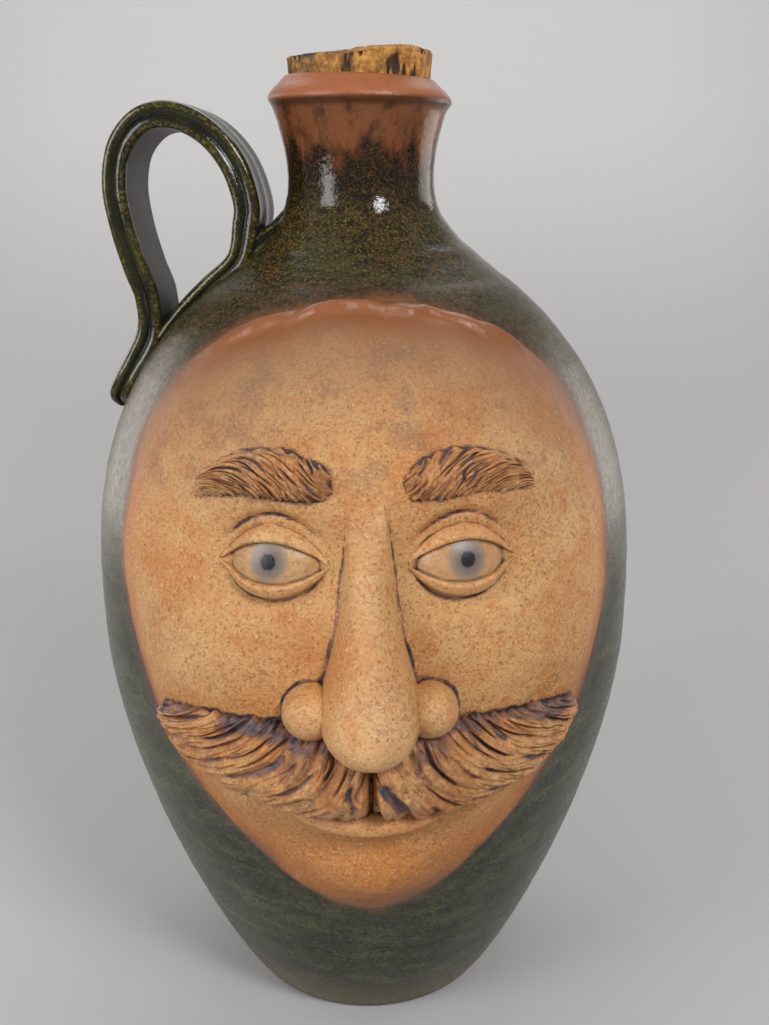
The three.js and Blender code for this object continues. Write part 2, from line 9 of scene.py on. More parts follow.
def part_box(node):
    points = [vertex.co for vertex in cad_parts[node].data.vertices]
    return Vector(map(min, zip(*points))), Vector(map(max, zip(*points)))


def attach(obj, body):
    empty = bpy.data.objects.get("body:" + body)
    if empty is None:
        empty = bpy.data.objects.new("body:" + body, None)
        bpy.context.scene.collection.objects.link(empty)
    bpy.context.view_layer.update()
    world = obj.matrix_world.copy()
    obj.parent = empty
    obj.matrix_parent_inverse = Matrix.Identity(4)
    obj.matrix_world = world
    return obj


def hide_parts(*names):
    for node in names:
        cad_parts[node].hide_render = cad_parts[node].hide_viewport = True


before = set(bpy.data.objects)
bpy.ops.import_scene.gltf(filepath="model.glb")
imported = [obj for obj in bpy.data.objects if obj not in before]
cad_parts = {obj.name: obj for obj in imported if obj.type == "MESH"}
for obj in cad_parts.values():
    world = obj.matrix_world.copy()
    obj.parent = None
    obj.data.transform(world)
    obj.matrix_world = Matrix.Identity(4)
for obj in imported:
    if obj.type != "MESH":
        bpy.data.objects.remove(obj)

MM = 0.001
scene = bpy.context.scene
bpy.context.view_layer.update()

# Sizes of the jug, taken from the frame where it holds them
jug_low, jug_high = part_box("jug_body")
JUG_HEIGHT = jug_high.z / MM
BELLY_RADIUS = (jug_high.x - jug_low.x) / 2 / MM
cork_low, cork_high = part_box("cork")
CORK_TOP = cork_high.z / MM
CORK_BOTTOM = cork_low.z / MM
CORK_RADIUS = (cork_high.x - cork_low.x) / 2 / MM
BASE_RADIUS = 40
FOOT_ROUND = 1.6
BELLY_HEIGHT = 126
SHOULDER_DROP = 56
SHOULDER_RADIUS = 42.5
SHOULDER_SLOPE = 1.33
NECK_DROP = 28
NECK_RADIUS = 21.2
WALL = 6
BASE_THICKNESS = 9
INNER_CORNER = 9
NECK_BORE = 16.6
LIP_RADIUS = 26.2
LIP_DEPTH = 6.6
LIP_ROLL = 2.4
LIP_UNDERCUT = 5
LIP_FLARE = 3.1
RIM_ROUND = 0.9
MOUTH_RADIUS = 20.4
MOUTH_TAPER = 0.1
MOUTH_DEPTH = 23
FOOT_PULL = (0.17, 0.05)
BELLY_PULL = (0.6, 0.2)
SHOULDER_PULL = (0.32, 0.55)
NECK_PULL = 0.29

# Sizes of the face
FACE_TURN = math.radians(1.5)
FACE_HALF_WIDTH = 79
CHIN_HEIGHT = 54
FACE_TOP_DROP = 58
PAD_THICKNESS = 3.2
PAD_EDGE = 1
JAW = 0.3
FEATHER = 0.2
EYE_WIDTH = 23
EYE_SPACING = 23
EYE_ARCH = {1: 5, -1: 4.2}
EYEBALL = (13, 11.05, 9.75)
EYEBALL_STAND_OUT = 6.5
LID_THICKNESS = 1.8
LID_BREADTH = 5
LID_REACH = EYE_WIDTH / 2 + LID_THICKNESS
NOSE_HEIGHT = 20
NOSE_HALF_WIDTH = 11.5
NOSTRIL_RADIUS = 6.8
NOSTRIL_STAND_OUT = 10.5
BROW_LENGTH = 37
BROW_BREADTH = 10.5
BROW_STAND_OUT = 4.2
BROW_GAP = 17
BROW_ARCH = 3.4
MOUSTACHE_LENGTH = 57
MOUSTACHE_BREADTH = 26
MOUSTACHE_STAND_OUT = 8.5
MOUSTACHE_LIFT = 6
MOUSTACHE_PART = 0.8
MOUSTACHE_FAN = 8
LIP_HALF_WIDTH = 22
LIP_BREADTH = 9
LIP_STAND_OUT = 4.2
LIP_SAG = 2.4
LIP_DROP = 14
EDGE_LIFT = 1.4
SWELLS = (
    (0.27, 0.745, 0.25, 0.07, 1.2),
    (0, 0.72, 0.12, 0.08, 0.7),
    (0, 0.88, 0.5, 0.12, 0.6),
    (0.29, 0.645, 0.17, 0.055, -1.35),
    (0.5, 0.5, 0.25, 0.12, 1.5),
    (0, 0.33, 0.4, 0.12, 1.3),
    (0, 0.2, 0.22, 0.03, -0.5),
    (0, 0.115, 0.23, 0.075, 1.6),
)

# Sizes of the handle
HANDLE_TURN = math.radians(176.5)
STRAP_WIDTH = 30
STRAP_END_WIDTH = 24
STRAP_THICKNESS = 7.4
STRAP_GROOVE = 1
STRAP_RIB = 0.6
STRAP_SINK = 1
HANDLE_REACH = 47.4
HANDLE_TOP_DROP = 11.4
HANDLE_FOOT_DROP = 46
HANDLE_LANDING_DROP = 74
HANDLE_TAIL = 19
TAIL_THICKNESS = 6.4
TIP_THICKNESS = 3.8
FOOT_THICKNESS = 4.4
LOOP = (
    (0.852, 0.2), (0.914, 0.355), (0.97, 0.52), (1, 0.7), (0.951, 0.871), (0.808, 0.984),
    (0.618, 1), (0.428, 0.93), (0.283, 0.798), (0.213, 0.637), (0.222, 0.53),
)

SHOULDER_HEIGHT = JUG_HEIGHT - SHOULDER_DROP
NECK_HEIGHT = JUG_HEIGHT - NECK_DROP
LIP_EDGE = JUG_HEIGHT - LIP_DEPTH
MOUTH_BOTTOM = JUG_HEIGHT - MOUTH_DEPTH
FACE_TOP = JUG_HEIGHT - FACE_TOP_DROP
FACE_HEIGHT = FACE_TOP - CHIN_HEIGHT


def level(share):
    return CHIN_HEIGHT + share * FACE_HEIGHT


WIDEST = level(0.71)
BROW_LEVEL = level(0.75)
EYE_LEVEL = level(0.645)
NOSE_ROOT = level(0.7)
NOSE_BASE = level(0.4)
MOUSTACHE_LEVEL = level(0.345)
LOWER_LIP_LEVEL = MOUSTACHE_LEVEL - LIP_DROP

# Small functions on arrays


def unit(x):
    return np.clip(x, 0, 1)


def ramp(x, low, high):
    t = unit((x - low) / (high - low))
    return t * t * (3 - 2 * t)


def lerp(a, b, t):
    return a + (b - a) * t


def smooth_max(a, b, radius):
    return (a + b + np.sqrt((a - b) ** 2 + radius**2)) / 2


def joined(*parts):
    return np.concatenate(parts)


def stacked(*parts):
    return np.stack(parts, -1)


def grid(*ends):
    """Two grids of values, each evenly from one end to the other with so many of them."""
    return np.meshgrid(*(np.linspace(*end) for end in ends))


def full_turn(sides):
    return np.linspace(0, 2 * np.pi, sides, endpoint=False)


LATTICE_SIZE = 64
LATTICE = np.random.default_rng(11).uniform(-1, 1, (LATTICE_SIZE,) * 3)


def noise(x, y, z=0.0):
    """Smooth noise from -1 to 1, with its features about one unit apart."""
    spot = np.stack(np.broadcast_arrays(x, y, z)).astype(float)
    cell = np.floor(spot).astype(int)
    share = ramp(spot - cell, 0, 1)
    total = 0.0
    for corner in np.ndindex(2, 2, 2):
        step = np.reshape(corner[::-1], (3,) + (1,) * (spot.ndim - 1))
        weight = np.where(step, share, 1 - share).prod(0)
        total = total + weight * LATTICE[tuple((cell + step) % LATTICE_SIZE)]
    return total


def cloud(x, y, z=0.0, octaves=3):
    """Layered noise from coarse to fine."""
    return sum(noise(x * 2**k + 7 * k, y * 2**k, z * 2**k) / 2**k for k in range(octaves)) / 1.5


# The outline of the thrown body


def bezier(points, count):
    t = np.linspace(0, 1, count + 1)[:, None]
    rows = [np.array(p, float)[None] for p in points]
    while len(rows) > 1:
        rows = [a * (1 - t) + b * t for a, b in zip(rows, rows[1:])]
    return rows[0]


def body_curves(count):
    swell = BELLY_RADIUS - BASE_RADIUS
    rise = SHOULDER_HEIGHT - BELLY_HEIGHT
    draw_in = NECK_HEIGHT - SHOULDER_HEIGHT
    below = SHOULDER_PULL[0] * rise
    above = SHOULDER_PULL[1] * draw_in
    base = (BASE_RADIUS, 0)
    over_base = (BASE_RADIUS + FOOT_PULL[0] * swell, FOOT_PULL[1] * BELLY_HEIGHT)
    under_belly = (BELLY_RADIUS, BELLY_PULL[0] * BELLY_HEIGHT)
    belly = (BELLY_RADIUS, BELLY_HEIGHT)
    over_belly = (BELLY_RADIUS, BELLY_HEIGHT + BELLY_PULL[1] * rise)
    under_shoulder = (SHOULDER_RADIUS + SHOULDER_SLOPE * below, SHOULDER_HEIGHT - below)
    shoulder = (SHOULDER_RADIUS, SHOULDER_HEIGHT)
    over_shoulder = (SHOULDER_RADIUS - SHOULDER_SLOPE * above, SHOULDER_HEIGHT + above)
    under_neck = (NECK_RADIUS, NECK_HEIGHT - NECK_PULL * draw_in)
    neck = (NECK_RADIUS, NECK_HEIGHT)
    foot = bezier([base, over_base, under_belly, belly], count)
    flank = bezier([belly, over_belly, under_shoulder, shoulder], count)
    throat = bezier([shoulder, over_shoulder, under_neck, neck], count)
    return joined(foot, flank[1:], throat[1:])


def normals_of(line):
    tangent = np.gradient(line, axis=0)
    normal = stacked(tangent[:, 1], -tangent[:, 0])
    return normal / np.linalg.norm(normal, axis=1, keepdims=True)


WALL_LINE = body_curves(160)
WALL_NORMALS = normals_of(WALL_LINE)


def wall_at(up):
    """The wall's radius at a height, and its normal outward and upward."""
    columns = (WALL_LINE[:, 0], WALL_NORMALS[:, 0], WALL_NORMALS[:, 1])
    return [np.interp(up, WALL_LINE[:, 1], column) for column in columns]


def around(radius, turn, up):
    """Points on circles about the jug's axis, with a turn of 0 in front."""
    return stacked(radius * np.sin(turn), -radius * np.cos(turn), up)


def place(across, up, out):
    """A point of the face: so far across, at a height, and so far out from the wall."""
    radius, outward, upward = wall_at(up)
    return around(radius + out * outward, FACE_TURN + across / BELLY_RADIUS, up + out * upward)


def length_along(line):
    """How far along a line of radius and height each of its points lies."""
    return joined([0], np.cumsum(np.linalg.norm(np.diff(line[:, :2], axis=0), axis=1)))


def resample(line, spacing):
    """The same line with points at an even spacing."""
    along = length_along(line)
    wanted = np.linspace(0, along[-1], max(2, int(round(along[-1] / spacing))) + 1)
    return stacked(*(np.interp(wanted, along, line[:, k]) for k in range(2)))


def catmull(points, count):
    """A smooth line through points, with so many steps between each two."""
    points = np.array(points, float)
    padded = joined([2 * points[0] - points[1]], points, [2 * points[-1] - points[-2]])
    t = np.linspace(0, 1, count, endpoint=False)[:, None]
    runs = []
    for a, b, c, d in zip(padded, padded[1:], padded[2:], padded[3:]):
        bend = t**2 * (a - 2.5 * b + 2 * c - d / 2) + t**3 * (-a + 3 * b - 3 * c + d) / 2
        runs.append(b + t * (c - a) / 2 + bend)
    return joined(*runs, points[-1:])


# Meshes


def grid_faces(rows, columns, start=0, closed=False, flip=False):
    across = np.arange(columns if closed else columns - 1)
    row, column = np.meshgrid(np.arange(rows - 1), across, indexing="ij")
    here = row * columns + column
    beside = row * columns + (column + 1) % columns
    faces = stacked(here, beside, beside + columns, here + columns).reshape(-1, 4)
    return (faces[:, ::-1] if flip else faces) + start


def new_mesh(name, points, faces, material):
    """A smooth mesh from points in millimetres."""
    mesh = bpy.data.meshes.new(name)
    points = np.asarray(points).reshape(-1, 3) * MM
    mesh.from_pydata(points.tolist(), [], [list(map(int, f)) for f in faces])
    mesh.validate()
    mesh.polygons.foreach_set("use_smooth", np.ones(len(mesh.polygons), bool))
    mesh.materials.append(material)
    piece = bpy.data.objects.new(name, mesh)
    scene.collection.objects.link(piece)
    return piece


def new_piece(name, points, faces, values, look, *nodes, body="jug"):
    """A piece of the jug with named values on its points, riding on a body in place of some nodes."""
    material, slot = LOOKS[look]
    piece = new_mesh(name, points, faces, material)
    for key, value in values.items():
        attribute = piece.data.attributes.new(key, "FLOAT", "POINT")
        attribute.data.foreach_set("value", np.asarray(value, np.float32).ravel())
    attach(piece, body)
    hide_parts(*nodes)


def slab_faces(rows, columns):
    """Faces of a closed slab: a front grid, a back grid and the four sides between them."""
    size = rows * columns
    index = np.arange(size).reshape(rows, columns)
    rim = joined(index[0, :-1], index[:-1, -1], index[-1, :0:-1], index[:0:-1, 0])
    after = np.roll(rim, -1)
    sides = stacked(rim, rim + size, after + size, after)
    return joined(grid_faces(rows, columns), grid_faces(rows, columns, size, flip=True), sides)


# The relief of the face


def spread_at(rise):
    return np.where(rise < 0, 1 - JAW * rise * rise, np.hypot(1, rise))


def half_height_at(rise):
    return np.where(rise < 0, WIDEST - CHIN_HEIGHT, FACE_TOP - WIDEST)


def rim_at(across, up):
    """0 in the middle of the panel and 1 at its edge."""
    rise = (up - WIDEST) / half_height_at(up - WIDEST)
    reach = across / (FACE_HALF_WIDTH * spread_at(np.clip(rise, -1, 1)))
    return np.hypot(rise, reach)


def relief(across, up):
    """Thickness of the clay over the wall, without the pieces that are laid on it."""
    rim = rim_at(across, up)
    thickness = PAD_THICKNESS - PAD_EDGE
    for side, lift, wide, tall, share in SWELLS:
        x = (np.abs(across) - side * FACE_HALF_WIDTH) / (wide * FACE_HALF_WIDTH)
        y = (up - level(lift)) / (tall * FACE_HEIGHT)
        thickness = thickness + share * PAD_THICKNESS * np.exp(-x * x - y * y)
    return PAD_EDGE + thickness * (1 - ramp(rim, 1 - FEATHER, 1))


EYEBALL_OUT = float(relief(EYE_SPACING, EYE_LEVEL)) + EYEBALL_STAND_OUT - EYEBALL[2]


def eyeball_at(across, up):
    x = (np.abs(across) - EYE_SPACING) / EYEBALL[0]
    y = (up - EYE_LEVEL) / EYEBALL[1]
    return EYEBALL_OUT + EYEBALL[2] * np.sqrt(np.clip(1 - x * x - y * y, 0, None))


def lid_gap(across, up):
    """How far a place on an eyeball is from the nearer lid."""
    x = (np.abs(across) - EYE_SPACING) / LID_REACH
    bow = unit(1 - x * x)
    rise = up - EYE_LEVEL
    return np.minimum(EYE_ARCH[1] * bow - rise, rise + EYE_ARCH[-1] * bow)


CREASE_LIFT = 1.6
CREASE_DEPTH = 1.1
CREASE_HALF_WIDTH = 0.9


def crease(across, up):
    """The fold over each upper lid."""
    x = (np.abs(across) - EYE_SPACING) / (LID_REACH + 1.5)
    bow = unit(1 - x * x)
    line = EYE_LEVEL + EYE_ARCH[1] * bow + LID_BREADTH * (0.3 + 0.7 * bow) + CREASE_LIFT
    off = (up - line) / CREASE_HALF_WIDTH
    return CREASE_DEPTH * np.exp(-off * off) * ramp(bow, 0, 0.8)


LEDGE_HEIGHT = 3
LEDGE_PLACE = 0.94
LEDGE_WIDTHS = (0.026, 0.05)


def ledge(across, up):
    """The roll of clay that stands along the panel's upper edge."""
    wave = noise(across / 9, 7.7)
    off = rim_at(across, up) - LEDGE_PLACE + 0.034 * wave
    off = off / np.where(off < 0, *LEDGE_WIDTHS)
    high = ramp(up, FACE_TOP - 17, FACE_TOP - 5) * (0.7 + 0.5 * noise(across / 11, 2.4))
    return LEDGE_HEIGHT * high * np.exp(-off * off)


def skin(across, up):
    """The worked surface of the panel: the relief with its folds and the unevenness of the hand."""
    worked = 0.5 * cloud(across / 12, up / 12, 3.3) + 0.16 * cloud(across / 3.5, up / 3.5, 8.1)
    inside = 1 - ramp(rim_at(across, up), 0.9, 1)
    return relief(across, up) + ledge(across, up) - crease(across, up) + worked * inside


def panel():
    x, y = grid((-1, 1, 400), (-1, 1, 430))
    rise = y * np.sqrt(1 - x * x / 2)
    across = x * np.sqrt(1 - y * y / 2) * spread_at(rise) * FACE_HALF_WIDTH
    up = WIDEST + rise * half_height_at(rise)
    rim = rim_at(across, up)
    edge = ramp(1 - rim, 0, 0.04)
    out = lerp(-0.35, skin(across, up), edge)
    back = np.full_like(out, -1.2)
    return across, up, out, back


# Pieces laid on the panel, each as its places across and up, its front and its back


def crown(t, power):
    return unit(1 - t * t) ** power


NOSE_SHARES = (
    (-0.12, -0.12, 0.3), (0, 0.02, 0.36), (0.2, 0.19, 0.46), (0.42, 0.42, 0.6), (0.64, 0.72, 0.82),
    (0.82, 0.98, 1), (0.93, 0.95, 0.95), (1, 0.62, 0.74), (1.05, -0.1, 0.55),
)
NOSE_LINE = catmull(NOSE_SHARES, 24)
NOSE_FILLET = 1.8
NOSE_DROOP = 0.1


def nose():
    side, along = grid((-1.75, 1.75, 120), (1.05, -0.12, 190))
    lift = np.interp(along, NOSE_LINE[:, 0], NOSE_LINE[:, 1])
    wide = np.interp(along, NOSE_LINE[:, 0], NOSE_LINE[:, 2]) * NOSE_HALF_WIDTH
    up = lerp(NOSE_ROOT, NOSE_BASE, along)
    across = side * wide
    power = lerp(1.0, 0.6, ramp(along, 0.1, 0.7))
    inside = unit(1 - side * side)
    dome = np.where(np.abs(side) < 1, inside**power, 1 - side * side)
    stands = NOSE_HEIGHT * np.where(dome > 0, lift * dome, 0.25 * dome)
    stands = smooth_max(stands, -0.7, NOSE_FILLET) + 0.12 * cloud(across / 4, up / 4, 2.2)
    ground = lerp(relief(0 * across, up), relief(across, up), ramp(np.abs(side), 0.7, 1.3))
    out = ground + stands
    up = up - NOSE_DROOP * np.clip(stands, 0, None) * ramp(along, 0.5, 0.95)
    edge = ramp(np.abs(side), 1.45, 1.75) + ramp(along, 1.03, 1.05)
    out = out - 0.8 * unit(edge + ramp(-along, 0.08, 0.12))
    return across, up, out, np.full_like(out, -0.6)


def lid(side, sense):
    column, across_lid = grid((-1, 1, 110), (0, 1, 34))
    bow = 1 - column**2
    breadth = LID_BREADTH * (0.3 + 0.7 * bow) * (1 if sense > 0 else 0.92)
    across = side * EYE_SPACING + column * LID_REACH
    up = EYE_LEVEL + sense * (0.2 + EYE_ARCH[sense] * bow + across_lid * breadth)
    thickness = LID_THICKNESS * (0.45 + 0.55 * np.sqrt(bow))
    edge = np.sqrt(unit(1 - (1 - unit(across_lid / 0.3)) ** 2))
    over_ball = eyeball_at(across, up) + 0.1 + thickness * edge
    over_panel = relief(across, up) - 0.2 + 1.2 * edge * (1 - across_lid)
    blend = ramp(across_lid, 0.62, 1)
    out = lerp(smooth_max(over_ball, over_panel, 0.8), relief(across, up) - 0.5, blend)
    out = out + 0.08 * noise(across / 2, up / 2, 4.4)
    back = np.minimum(out - 0.4, eyeball_at(across, up) - 1)
    return across, up, out, back


def laid(across, up, out, *wash):
    """Gives the surface of a laid piece a back that lies in the panel's clay."""
    return across, up, out, np.minimum(out - 0.3, relief(across, up) - 1.5), *wash


def cell_value(*cell):
    """A value from 0 to 1 that belongs to a cell with whole-numbered places."""
    return 0.5 + 0.5 * noise(*cell)


def gouges(strand, over, layers, seed):
    """Depth of short cuts of a tool: layers of so many cuts side by side and end to end, of a depth in mm."""
    deepest = 0 * strand
    for layer, (count, ends, depth, slant) in enumerate(layers):
        key = 17 * seed + 5 * layer
        side = (strand + slant * over) * count + 0.4 * noise(strand * count * 0.4, over * 2.3, key)
        column = np.floor(side)
        end = (over + 1) / 2 * ends + 3 * cell_value(column, key)
        row = np.floor(end)
        middle = 0.36 + 0.28 * cell_value(column, row, key + 1)
        width = 0.13 + 0.26 * cell_value(column, row, key + 2)
        strength = 0.25 + 0.75 * cell_value(column, row, key + 3)
        length = ramp(end - row, 0, 0.3) * (1 - ramp(end - row, 0.72, 1))
        profile = unit(1 - np.abs(side - column - middle) / width) ** 0.75
        deepest = np.maximum(deepest, depth * strength * length * profile)
    return deepest


def strands(strand, over, count, seed):
    """Rounded strands side by side: 0 on their crests and 1 between them."""
    side = strand * count + 0.35 * noise(strand * count * 0.5, over * 1.7, seed)
    return 1 - np.abs(np.sin(np.pi * side)) ** 0.7


def torn(across, up, seed):
    """The rough surface of clay that a tool has torn, in millimetres."""
    return 0.42 * cloud(across / 1.9, up / 1.9, seed, 4)


def points_of(strand, count, seed):
    """Tufts along an edge: how far each point reaches, from 0 to 1."""
    side = strand * count + 0.3 * noise(strand * count * 0.6, seed)
    cell = np.floor(side)
    return (1 - np.abs(2 * (side - cell) - 1) ** 1.4) * (0.35 + 0.65 * cell_value(cell, seed))


MOUSTACHE_CUTS = ((8, 1.5, 3.2, 0.02), (12, 2.1, 2.6, 0.05), (19, 3, 1.3, -0.04), (29, 4.1, 0.7, 0.03))


def moustache(side):
    column, t = grid((0, 1, 400), (-1, 1, 130))
    seed = 5 if side < 0 else 9
    lean = 0.04 + 0.27 * ramp(column, 0, 0.7)
    strand = column + lean * t
    cut = gouges(strand, t, MOUSTACHE_CUTS, seed) + 0.35 * strands(strand, t, 14, seed + 0.5)
    round_tip = 0.1 + 0.9 * np.sqrt(unit(1 - column**5))
    taper = round_tip * (1 - 0.4 * column**2) * (1 - 0.12 * (1 - column) ** 6)
    half = MOUSTACHE_BREADTH / 2 * taper
    lower = unit(-t) ** 3 * (1.7 - 3.4 * points_of(strand, 15, seed))
    upper = unit(t) ** 4 * (1.6 * points_of(strand, 19, seed + 3) - 0.8)
    reach = 1 + (0.035 * noise(t * 5, seed) - 0.012) * ramp(column, 0.5, 1)
    along = MOUSTACHE_PART / 2 + column * MOUSTACHE_LENGTH * reach
    sweep = MOUSTACHE_LIFT * (column**1.5 - 0.2 * np.sin(np.pi * column))
    fan = MOUSTACHE_FAN * t * (1 - column) * column
    across = side * (along - fan)
    up = MOUSTACHE_LEVEL + sweep + t * half + (lower + upper) * np.sqrt(taper)
    fullness = (1 - 0.75 * column**2) * crown(t * 0.97, 0.55)
    parting = np.sqrt(unit((column + 0.002) / (0.03 + 0.02 * t * t)))
    tip = np.sqrt(unit((1 - column) / 0.05))
    body = (EDGE_LIFT + MOUSTACHE_STAND_OUT * fullness) * parting * tip
    body = body + 0.8 * noise(strand * 7, t * 0.9, seed) * np.sqrt(fullness)
    body = body + 0.75 * torn(across, up, seed)
    out = relief(across, up) - 0.3 + body - cut * unit(body / 4)
    ragged_t = t + 0.3 * noise(strand * 6, seed)
    streaked = ragged_t + 0.6 * noise(strand * 24, t * 1.2, seed)
    under_nose = 0.8 * ramp(column, 0.5, 0.2) * ramp(streaked, 0.3, 0.8)
    brushed_on = 0.8 * np.maximum(ramp(ragged_t, 0.72, 0.95), under_nose)
    wash = np.maximum(ramp(cut, 0.75, 2.2), brushed_on)
    return laid(across, up, out, wash)


BROW_CUTS = ((11, 1.4, 1.8, 0), (17, 1.9, 1.4, -0.07), (27, 2.6, 0.9, 0.07))


def brow(side):
    column, t = grid((0, 1, 280), (-1, 1, 90))
    seed = 15 if side < 0 else 21
    lean = 0.1 + 0.32 * ramp(column, 0.1, 0.9)
    strand = column - lean * t
    cut = gouges(strand, t, BROW_CUTS, seed) + 0.3 * strands(strand, t, 16, seed + 0.5)
    swell = np.sin(np.pi * np.minimum(0.5, 1.6 * column))
    taper = (0.5 + 0.5 * swell) * (1 - 0.6 * column**3)
    half = BROW_BREADTH / 2 * taper
    lower = unit(-t) ** 3 * (0.7 - 1.5 * points_of(strand, 16, seed))
    upper = unit(t) ** 3 * (1.9 * points_of(strand, 14, seed + 3) - 0.9)
    wander = 0.9 * noise(t * 3, seed) * ramp(np.abs(column - 0.5), 0.3, 0.5)
    along = BROW_GAP / 2 + column * BROW_LENGTH + wander
    arch = BROW_ARCH * (np.sin(np.pi * column * 0.85) - column**2)
    across = side * along
    up = BROW_LEVEL + arch + t * half + lower + upper
    ends = np.sqrt(unit(column / 0.08)) * np.sqrt(unit((1 - column) / 0.12))
    body = (EDGE_LIFT * 0.6 + BROW_STAND_OUT * crown(t, 0.75) * (1 - column**4)) * ends
    body = body + 0.7 * torn(across, up, seed)
    out = relief(across, up) - 0.4 + body - cut * unit(body / 2.6)
    return laid(across, up, out, ramp(cut, 0.35, 1.3))


def lower_lip():
    column, t = grid((0, 1, 150), (-1, 1, 50))
    x = 2 * column - 1
    half = LIP_BREADTH / 2 * (0.25 + 0.75 * (1 - x * x))
    across = x * LIP_HALF_WIDTH
    up = LOWER_LIP_LEVEL - LIP_SAG * (1 - x * x) + t * half
    profile = np.where(t > 0.1, crown((t - 0.1) / 0.9, 0.5), ramp(t, -1, 0.1))
    body = (EDGE_LIFT + LIP_STAND_OUT) * profile * crown(x, 0.8)
    out = relief(across, up) - 0.35 + body + 0.08 * cloud(across / 2, up / 5, 6.6)
    return laid(across, up, out)


BALL_GRID = (96, 64)


def ball(across, up, out, sizes, seed=1.0, uneven=0.12):
    """A ball of clay pressed on the panel."""
    turn, rise = np.meshgrid(full_turn(BALL_GRID[0]), np.linspace(0, np.pi, BALL_GRID[1]))
    spot = [np.sin(rise) * np.cos(turn), np.sin(rise) * np.sin(turn), np.cos(rise)]
    grow = 1 + uneven / 10 * cloud(spot[0] * 2 + seed, spot[1] * 2, spot[2] * 2)
    return [middle + x * size * grow for middle, x, size in zip((across, up, out), spot, sizes)]


# Oxide: how far each point lies below the surface round it

RAISED_LIMIT = 2.6
RASTER_STEP = 0.4
RASTER_LOW = (-88, 48)
RASTER_SIZE = (441, 451)


def blur(values, radius):
    """A soft average over a radius in millimetres."""
    reach = int(math.ceil(2.5 * radius / RASTER_STEP))
    weights = np.exp(-0.5 * (np.arange(-reach, reach + 1) * RASTER_STEP / radius) ** 2)
    weights /= weights.sum()
    for axis in (0, 1):
        values = sum(w * np.roll(values, k - reach, axis) for k, w in enumerate(weights))
    return values


def raster_index(across, up):
    cells = (np.rint((v - low) / RASTER_STEP) for v, low in zip((across, up), RASTER_LOW))
    return tuple(np.clip(cell, 0, size - 1).astype(int) for cell, size in zip(cells, RASTER_SIZE))


def settle_map():
    """The top surface of all the pieces over the panel, averaged over a small and a larger radius."""
    across = RASTER_LOW[0] + RASTER_STEP * np.arange(RASTER_SIZE[0])[:, None]
    up = RASTER_LOW[1] + RASTER_STEP * np.arange(RASTER_SIZE[1])[None, :]
    inside = rim_at(across, up) < 1
    top = np.where(inside, skin(across + 0 * up, up + 0 * across), 0.0)
    for shape in shapes.values():
        np.maximum.at(top, raster_index(*shape[:2]), lowered(*shape[:3]))
    return blur(top, 1.0), blur(top, 2.8)


def lowered(across, up, out):
    """A height over the wall with all that stands far over the panel pressed down to a few millimetres."""
    ground = relief(across, up)
    raised = out - ground
    return ground + np.where(raised > 0, RAISED_LIMIT * (1 - np.exp(-raised / RAISED_LIMIT)), raised)


def oxide(across, up, out):
    near, wide = settled
    index = raster_index(across, up)
    level_out = lowered(across, up, out)
    close = ramp(near[index] - level_out, 0.1, 0.75)
    broad = ramp(wide[index] - level_out, 0.5, 1.7)
    return np.maximum(close, 0.6 * broad) * ramp(inside_of(across, up), 0.5, 3.5)


# Materials


class Shader:
    """A material's node tree, with short calls for the nodes that it needs."""

    def __init__(self, name):
        self.material = bpy.data.materials.new(name)
        self.material.use_nodes = True
        self.tree = self.material.node_tree
        self.tree.nodes.clear()
        self.place = self.add("TexCoord").outputs["Object"]

    def add(self, kind, inputs=(), **settings):
        node = self.tree.nodes.new("ShaderNode" + kind)
        for key, value in settings.items():
            setattr(node, key, value)
        for key, value in dict(inputs).items():
            if isinstance(value, bpy.types.NodeSocket):
                self.tree.links.new(value, node.inputs[key])
            elif value is not None:
                node.inputs[key].default_value = value
        return node

    def value(self, name):
        return self.add("Attribute", attribute_name=name).outputs["Fac"]

    def math(self, operation, a, b, clamp=False):
        return self.add("Math", {0: a, 1: b}, operation=operation, use_clamp=clamp).outputs[0]

    def times(self, *values):
        return reduce(lambda a, b: self.math("MULTIPLY", a, b), values)

    def plus(self, *values):
        return reduce(lambda a, b: self.math("ADD", a, b), values)

    def minus(self, a, b):
        return self.math("SUBTRACT", a, b)

    def swing(self, value, size):
        """A noise turned into one that swings about 0."""
        return self.times(self.minus(value, 0.5), size)

    def steps(self, value, low, high, from_value=0.0, to_value=1.0):
        inputs = enumerate((value, low, high, from_value, to_value))
        return self.add("MapRange", inputs, interpolation_type="SMOOTHSTEP").outputs[0]

    def mix(self, factor, a, b):
        return self.add("Mix", {0: factor, 6: a, 7: b}, data_type="RGBA").outputs[2]

    def coats(self, shade, *rows):
        """Tints laid over a shade in turn: each by a factor, or as a value goes from low to high."""
        for tint, value, *ends in rows:
            factor = self.steps(value, *ends[:2], 0.0, *ends[2:]) if ends else value
            shade = self.mix(factor, shade, tint)
        return shade

    def noise(self, size, detail=3.0, rough=0.5, stretch=(1, 1, 1), warp=0.0):
        """Noise with features of a size in millimetres."""
        inputs = {
            "Vector": self.add("Mapping", {"Vector": self.place, "Scale": stretch}).outputs[0],
            "Scale": 1 / (size * MM),
            "Detail": detail,
            "Roughness": rough,
            "Distortion": warp,
        }
        return self.add("TexNoise", inputs).outputs[0]

    def height(self):
        return self.add("SeparateXYZ", {0: self.place}).outputs[2]

    def bump(self, height, depth, normal=None):
        inputs = {"Height": height, "Strength": 1.0, "Distance": depth * MM, "Normal": normal}
        return self.add("Bump", inputs).outputs[0]

    def finish(self, shade, rough, normal=None, ior=1.5):
        inputs = {"Base Color": shade, "Roughness": rough, "IOR": ior, "Normal": normal}
        self.add("OutputMaterial", {"Surface": self.add("BsdfPrincipled", inputs).outputs[0]})
        return self.material


